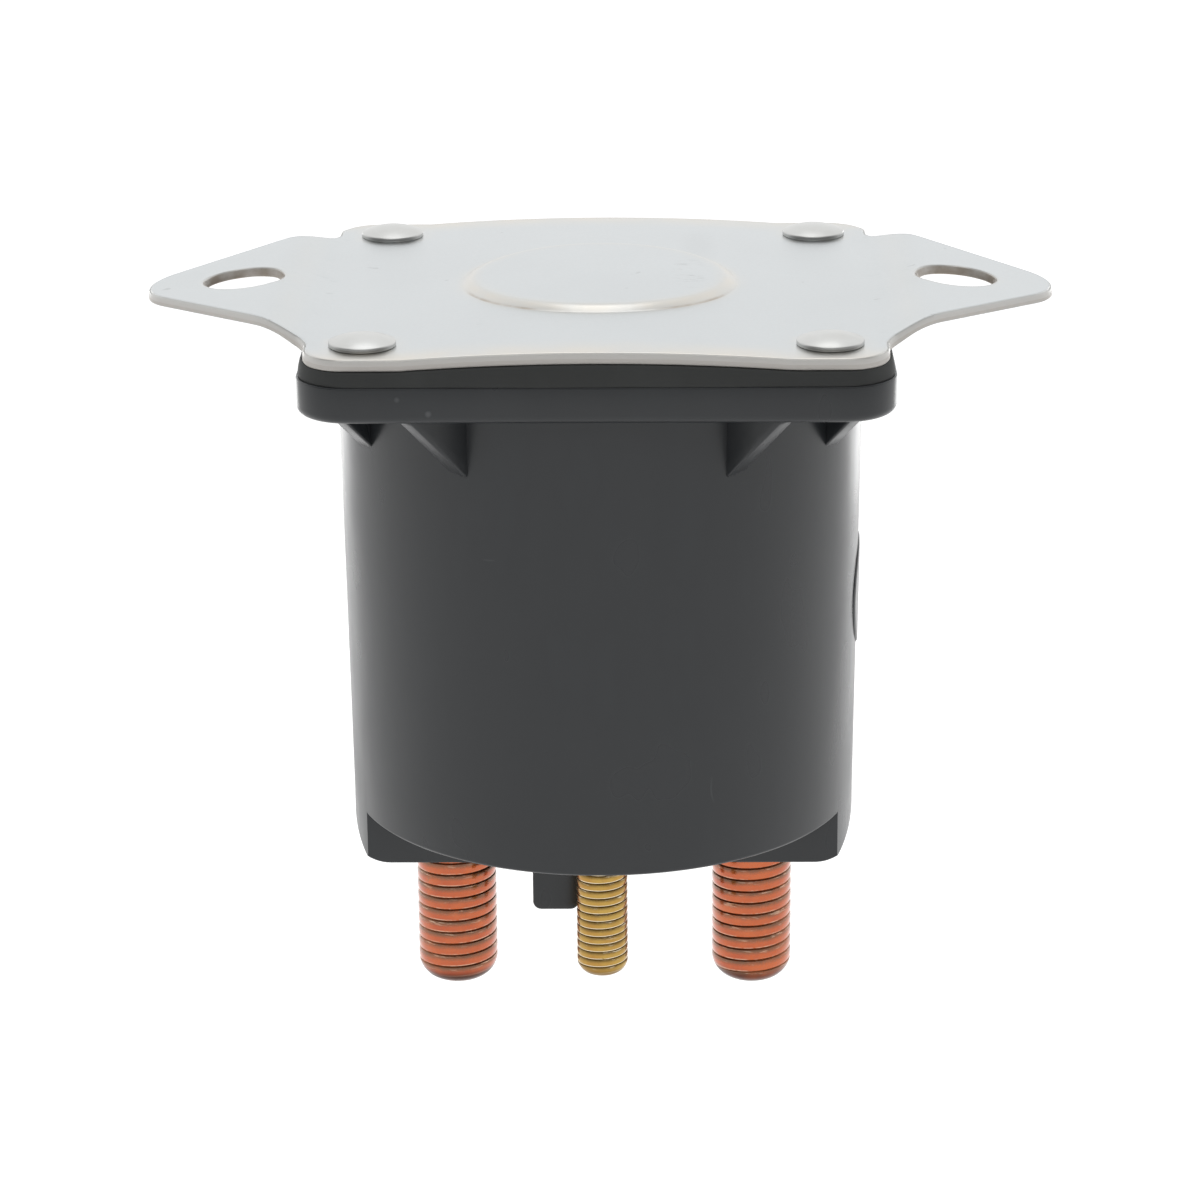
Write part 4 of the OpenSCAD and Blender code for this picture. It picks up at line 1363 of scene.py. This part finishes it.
@dataclass
class Stud:
    """Threaded stud with a square head inside the housing."""

    name: str
    node: str
    slot: str
    x: float
    y: float
    radius: float
    pitch: float
    depth: float
    tip: float
    end_r: float
    head_side: float
    head_low: float
    head_high: float
    face_z: float
    groove_share: float
    crest_drop: float
    shank_step: float = 0.2 * MM
    neck_h: float = 0.5 * MM
    neck_share: float = 0.86
    root_round: float = 0.3
    samples: int = 24
    steps: int = 96
    phase: float = 0.0

    def thread_radius(self, along: float) -> float:
        """Radius at a share of the pitch: a narrow groove between wide convex crests.

        Args:
            along: the share of the pitch.

        Returns:
            The radius.
        """
        away = abs(along - 0.5)
        half = self.groove_share / 2
        if away >= half:
            inward = 1 - (away - half) / (0.5 - half)
            return self.radius - self.crest_drop * inward ** 2
        soft = self.root_round
        rise = (math.hypot(away / half, soft) - soft) / (math.hypot(1.0, soft) - soft)
        return self.radius - self.crest_drop - self.depth * (1 - rise)

    def limit(self, height: float) -> float:
        """Largest radius that the rounded end and the neck allow at a height.

        Args:
            height: the height.

        Returns:
            The radius.
        """
        if height > self.face_z - self.neck_h:
            return self.radius * self.neck_share
        rise = height - self.tip
        if rise >= self.end_r:
            return self.radius
        inward = self.end_r - max(0.0, rise)
        return self.radius - self.end_r + math.sqrt(max(0.0, self.end_r ** 2 - inward ** 2))

    def build(self, finishes: Finishes) -> Piece:
        """Screw the thread, cut its ends and add the head.

        Args:
            finishes: the materials.

        Returns:
            The piece.
        """
        top = self.head_low + 0.2 * MM
        turns = math.ceil((top - self.tip) / self.pitch) + 2
        start = self.tip - self.pitch * (1.2 + self.phase)
        profile = [(self.thread_radius((i / self.samples) % 1.0),
                    start + self.pitch * i / self.samples)
                   for i in range(turns * self.samples + 1)]
        bm = spun(profile, self.steps, self.pitch)
        for height, normal in ((self.tip, (0, 0, -1)), (top, (0, 0, 1))):
            cut = bmesh.ops.bisect_plane(bm, geom=bm.verts[:] + bm.edges[:] + bm.faces[:],
                                         dist=0.0005 * MM, plane_co=(0, 0, height),
                                         plane_no=normal, clear_outer=True)
            rim = [e for e in cut["geom_cut"] if isinstance(e, Edge)]
            bmesh.ops.edgenet_fill(bm, edges=rim)
        self.shape_ends(bm, start)
        self.close_tip(bm)
        self.add_head(bm)
        move(bm, self.x, self.y)
        piece = finish_mesh(bm, self.name)
        return settle(piece, finishes, self.slot, Body.BASE, self.node)

    def shape_ends(self, bm: Mesh, start: float) -> None:
        """Narrow the neck and the end, and note where the grooves are and where the rounded end takes
        painted shade.

        Args:
            bm: the thread.
            start: height at which its first turn began.
        """
        groove, flank, tip_shade = [bm.verts.layers.float.new(n) for n in (GROOVE, FLANK, TIP_SHADE)]
        for v in bm.verts:
            radius = math.hypot(v.co.x, v.co.y)
            along = (v.co.z - start) / self.pitch - math.atan2(v.co.y, v.co.x) / FULL_TURN
            v[groove] = (self.radius - radius) / self.depth
            v[flank] = (0.5 - along) % 1.0
            allowed = self.limit(v.co.z)
            if radius > allowed + 0.001 * MM:
                v.co.x *= allowed / radius
                v.co.y *= allowed / radius
                inward = (self.tip + self.end_r - v.co.z) / self.end_r
                v[groove] = 0.0 if inward > 0 else 1.0
                # painted shade on the rounded end, strongest at the tip
                v[tip_shade] = smooth_step(0.1, 0.6, inward)

    def add_head(self, bm: Mesh) -> None:
        """Add the square head and the plain shank inside the housing."""
        half, radius = self.head_side / 2, self.radius + self.shank_step
        box(bm, (-half, -half, self.head_low), (half, half, self.head_high))
        shank_h = self.head_low - self.face_z
        bmesh.ops.create_cone(bm, cap_ends=True, segments=self.steps, radius1=radius,
                              radius2=radius, depth=shank_h,
                              matrix=Matrix.Translation((0, 0, self.face_z + shank_h / 2)))

    def close_tip(self, bm: Mesh) -> None:
        """Divide the flat end of the tip with two smaller outlines, and give it full painted shade."""
        tip_shade = bm.verts.layers.float[TIP_SHADE]
        for face in [f for f in bm.faces if len(f.verts) > 8
                     and f.calc_center_median().z < self.tip + 0.01 * MM]:
            centre = face.calc_center_median()
            for share in (0.55, 0.6):
                reach = max((v.co - centre).length for v in face.verts)
                bmesh.ops.inset_region(bm, faces=[face], thickness=reach * (1 - share),
                                       use_even_offset=False, use_boundary=True)
            for v in face.verts:
                v[tip_shade] = 1.0


@dataclass
class Spring:
    """Wire compression spring."""

    name: str
    node: str
    body: Body
    joint: str
    mean_r: float
    wire: float
    low: float
    high: float
    turns: float
    anchor: float
    keep: float

    def build(self, finishes: Finishes) -> Piece:
        """Screw the wire's section round the axis.

        Args:
            finishes: the materials.

        Returns:
            The piece.
        """
        bm = bmesh.new()
        start = Matrix.Translation((self.mean_r, 0, self.low + self.wire / 2))
        section = bmesh.ops.create_circle(bm, segments=12, radius=self.wire / 2,
                                          matrix=start @ Matrix.Rotation(math.pi / 2, 4, "X"))
        edges = list({e for v in section["verts"] for e in v.link_edges})
        steps = round(self.turns * 28)
        rise = self.high - self.low - self.wire
        bmesh.ops.spin(bm, geom=section["verts"] + edges, cent=(0, 0, 0), axis=(0, 0, 1),
                       angle=FULL_TURN * self.turns, dvec=(0, 0, rise / steps), steps=steps,
                       use_merge=False, use_duplicate=False)
        bmesh.ops.holes_fill(bm, edges=[e for e in bm.edges if e.is_boundary], sides=0)
        piece = finish_mesh(bm, self.name)
        settle(piece, finishes, "spring_steel", self.body, self.node)
        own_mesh(piece)
        return piece


@dataclass
class Studio:
    """Pale floor, soft lights and the camera of the photograph."""

    eye: Triple = (6.12 * MM, -363.07 * MM, 91.02 * MM)
    aim: Triple = (0.0, 0.0, -35.0 * MM)
    roll: float = math.radians(0.449)
    lens: float = 116.52
    sensor: float = 36.0
    focal_px: float = 3884.15
    axis_px: Pair = (602.2, 621.245)
    photo_px: float = 1200.0
    floor_z: float = -0.135
    floor_grey: Colour = (0.86, 0.86, 0.86)
    floor_glow: float = 0.45
    front_light: Span = (-0.60, 0.78, 0.20, 1.15)
    above_light: Span = (0.35, 0.80, 0.0, 0.62)

    def camera(self) -> None:
        """Place the camera so that the photograph's centre ray is its axis."""
        eye = Vector(self.eye)
        back = (eye - Vector(self.aim)).normalized()
        right = Vector((0, 0, 1)).cross(back).normalized()
        up = back.cross(right)
        turned_right = right * math.cos(self.roll) - up * math.sin(self.roll)
        turned_up = right * math.sin(self.roll) + up * math.cos(self.roll)
        across = (self.photo_px / 2 - self.axis_px[0]) / self.focal_px
        above = (self.axis_px[1] - self.photo_px / 2) / self.focal_px
        new_back = (back - turned_right * across - turned_up * above).normalized()
        new_right = turned_up.cross(new_back).normalized()
        new_up = new_back.cross(new_right)
        data = bpy.data.cameras.new("camera")
        data.sensor_width = self.sensor
        data.lens = self.lens
        data.clip_start = 0.01
        data.clip_end = 20.0
        camera = placed("camera", data)
        basis = Matrix((new_right, new_up, new_back)).transposed().to_4x4()
        camera.matrix_world = Matrix.Translation(eye) @ basis
        bpy.context.scene.camera = camera

    def lamp(self, name: str, place: Triple, size: Pair, power: float, aim: Triple) -> None:
        """Add one rectangular softbox.

        Args:
            name: its name.
            place: where it hangs.
            size: its two sides.
            power: its power in watts.
            aim: the point that it faces.
        """
        data = bpy.data.lights.new(name, "AREA")
        data.shape = "RECTANGLE"
        data.size, data.size_y = size
        data.energy = power
        lamp = placed(name, data)
        lamp.location = place
        lamp.visible_camera = False
        lamp.rotation_mode = "QUATERNION"
        lamp.rotation_quaternion = (Vector(aim) - Vector(place)).to_track_quat("-Z", "Y")

    def floor(self) -> None:
        """Add the floor, white to the camera and to reflections."""
        bm = bmesh.new()
        bmesh.ops.create_grid(bm, x_segments=1, y_segments=1, size=6.0,
                              matrix=Matrix.Translation((0, 0, self.floor_z)))
        piece = finish_mesh(bm, "floor", recalc=False)
        g = Graph("floor_white")
        path = g.node("LightPath")
        shown = g.math("MAXIMUM", path.outputs["Is Camera Ray"], path.outputs["Is Glossy Ray"])
        shown = g.math("MAXIMUM", shown, path.outputs["Is Transmission Ray"])
        paint = g.node("BsdfDiffuse", {"Color": rgba(self.floor_grey)})
        glow = g.node("Emission", {"Color": rgba((1, 1, 1)),
                                   "Strength": g.times(shown, self.floor_glow)})
        both = g.node("AddShader", {0: paint.outputs[0], 1: glow.outputs[0]})
        piece.data.materials.append(g.close(both))

    def world(self) -> None:
        """White surroundings, darker in front where the photographer stands."""
        g = Graph("studio", world=True)
        way = g.node("SeparateXYZ", {0: g.place.node.outputs["Generated"]})
        front = g.span(way.outputs["Y"], *self.front_light, "SMOOTHERSTEP")
        above = g.span(way.outputs["Z"], *self.above_light, "SMOOTHERSTEP")
        seen = g.node("LightPath").outputs["Is Camera Ray"]
        level = g.node("Mix", {0: seen, 2: g.math("MAXIMUM", front, above), 3: 1.0},
                       data_type="FLOAT").outputs[0]
        shader = g.node("Background", {"Color": rgba((1, 1, 1)), "Strength": level})
        bpy.context.scene.world = g.close(shader)

    def build(self) -> None:
        """Make the studio."""
        self.camera()
        self.floor()
        self.world()
        self.lamp("overhead", (0, 0.20, 0.65), (0.30, 0.40), 0.36, (0, 0, -0.03))
        self.lamp("front", (0, -0.45, 0.50), (0.6, 0.25), 0.45, (0, 0, -0.03))
        for side in SIDES:
            self.lamp("rim", (side * 0.17, 0.30, -0.065), (0.13, 0.12), 0.12, (0, 0, -0.04))
        bpy.context.scene.view_settings.view_transform = "Standard"


def studs() -> list[Stud]:
    """The four terminal studs."""
    copper = {"slot": "copper", "radius": 4.0 * MM, "pitch": 1.25 * MM, "depth": 0.11 * MM,
              "tip": -72.95 * MM, "end_r": 2.4 * MM, "head_side": 11.4 * MM,
              "head_low": -47.5 * MM, "head_high": -44.5 * MM, "face_z": -57.0 * MM,
              "groove_share": 0.16, "crest_drop": 0.05 * MM, "neck_h": 1.6 * MM}
    brass = {"slot": "brass", "radius": 2.5 * MM, "pitch": 0.8 * MM, "depth": 0.075 * MM,
             "tip": -66.8 * MM, "end_r": 1.5 * MM, "head_side": 6.4 * MM,
             "head_low": -46.5 * MM, "head_high": -45.3 * MM, "face_z": -51.9 * MM,
             "groove_share": 0.17, "crest_drop": 0.04 * MM, "steps": 72}
    made = [Stud(f"copper_stud_{word}", f"main_stud_{word}", x=side * 14.9 * MM, y=0.0,
                 phase=phase, **copper)
            for side, word, phase in ((-1, "left", 0.15), (1, "right", 0.62))]
    made += [Stud(f"brass_stud_{word}", f"control_stud_{word}", x=0.0, y=side * 13.1 * MM,
                  phase=phase, **brass)
             for side, word, phase in ((-1, "front", 0.3), (1, "rear", 0.8))]
    return made


def springs() -> list[Spring]:
    """The two hidden springs."""
    return [
        Spring("return_spring_wire", "return_spring", Body.BASE, "plunger_travel",
               mean_r=3.4 * MM, wire=0.7 * MM, low=-53.5 * MM, high=-44.5 * MM, turns=5.5,
               anchor=-53.5 * MM, keep=6.4 / 9.0),
        Spring("contact_spring_wire", "contact_spring", Body.ARMATURE, "contact_overtravel",
               mean_r=4.6 * MM, wire=0.8 * MM, low=-39.7 * MM, high=-35.5 * MM, turns=2.5,
               anchor=-35.5 * MM, keep=3.55 / 4.2),
    ]


def main() -> None:
    """Build the studio, dress the frame and add the pieces."""
    logging.basicConfig(level=logging.INFO, format="%(name)s: %(message)s")
    Studio().build()
    finishes = Finishes().build()
    finishes.dress_frame()
    Bracket().build(finishes)
    Rivets().build(finishes)
    Gasket().build(finishes)
    Housing().build(finishes)
    for stud in studs():
        stud.build(finishes)
    for spring in springs():
        spring.build(finishes)


if __name__ == "__main__":
    main()
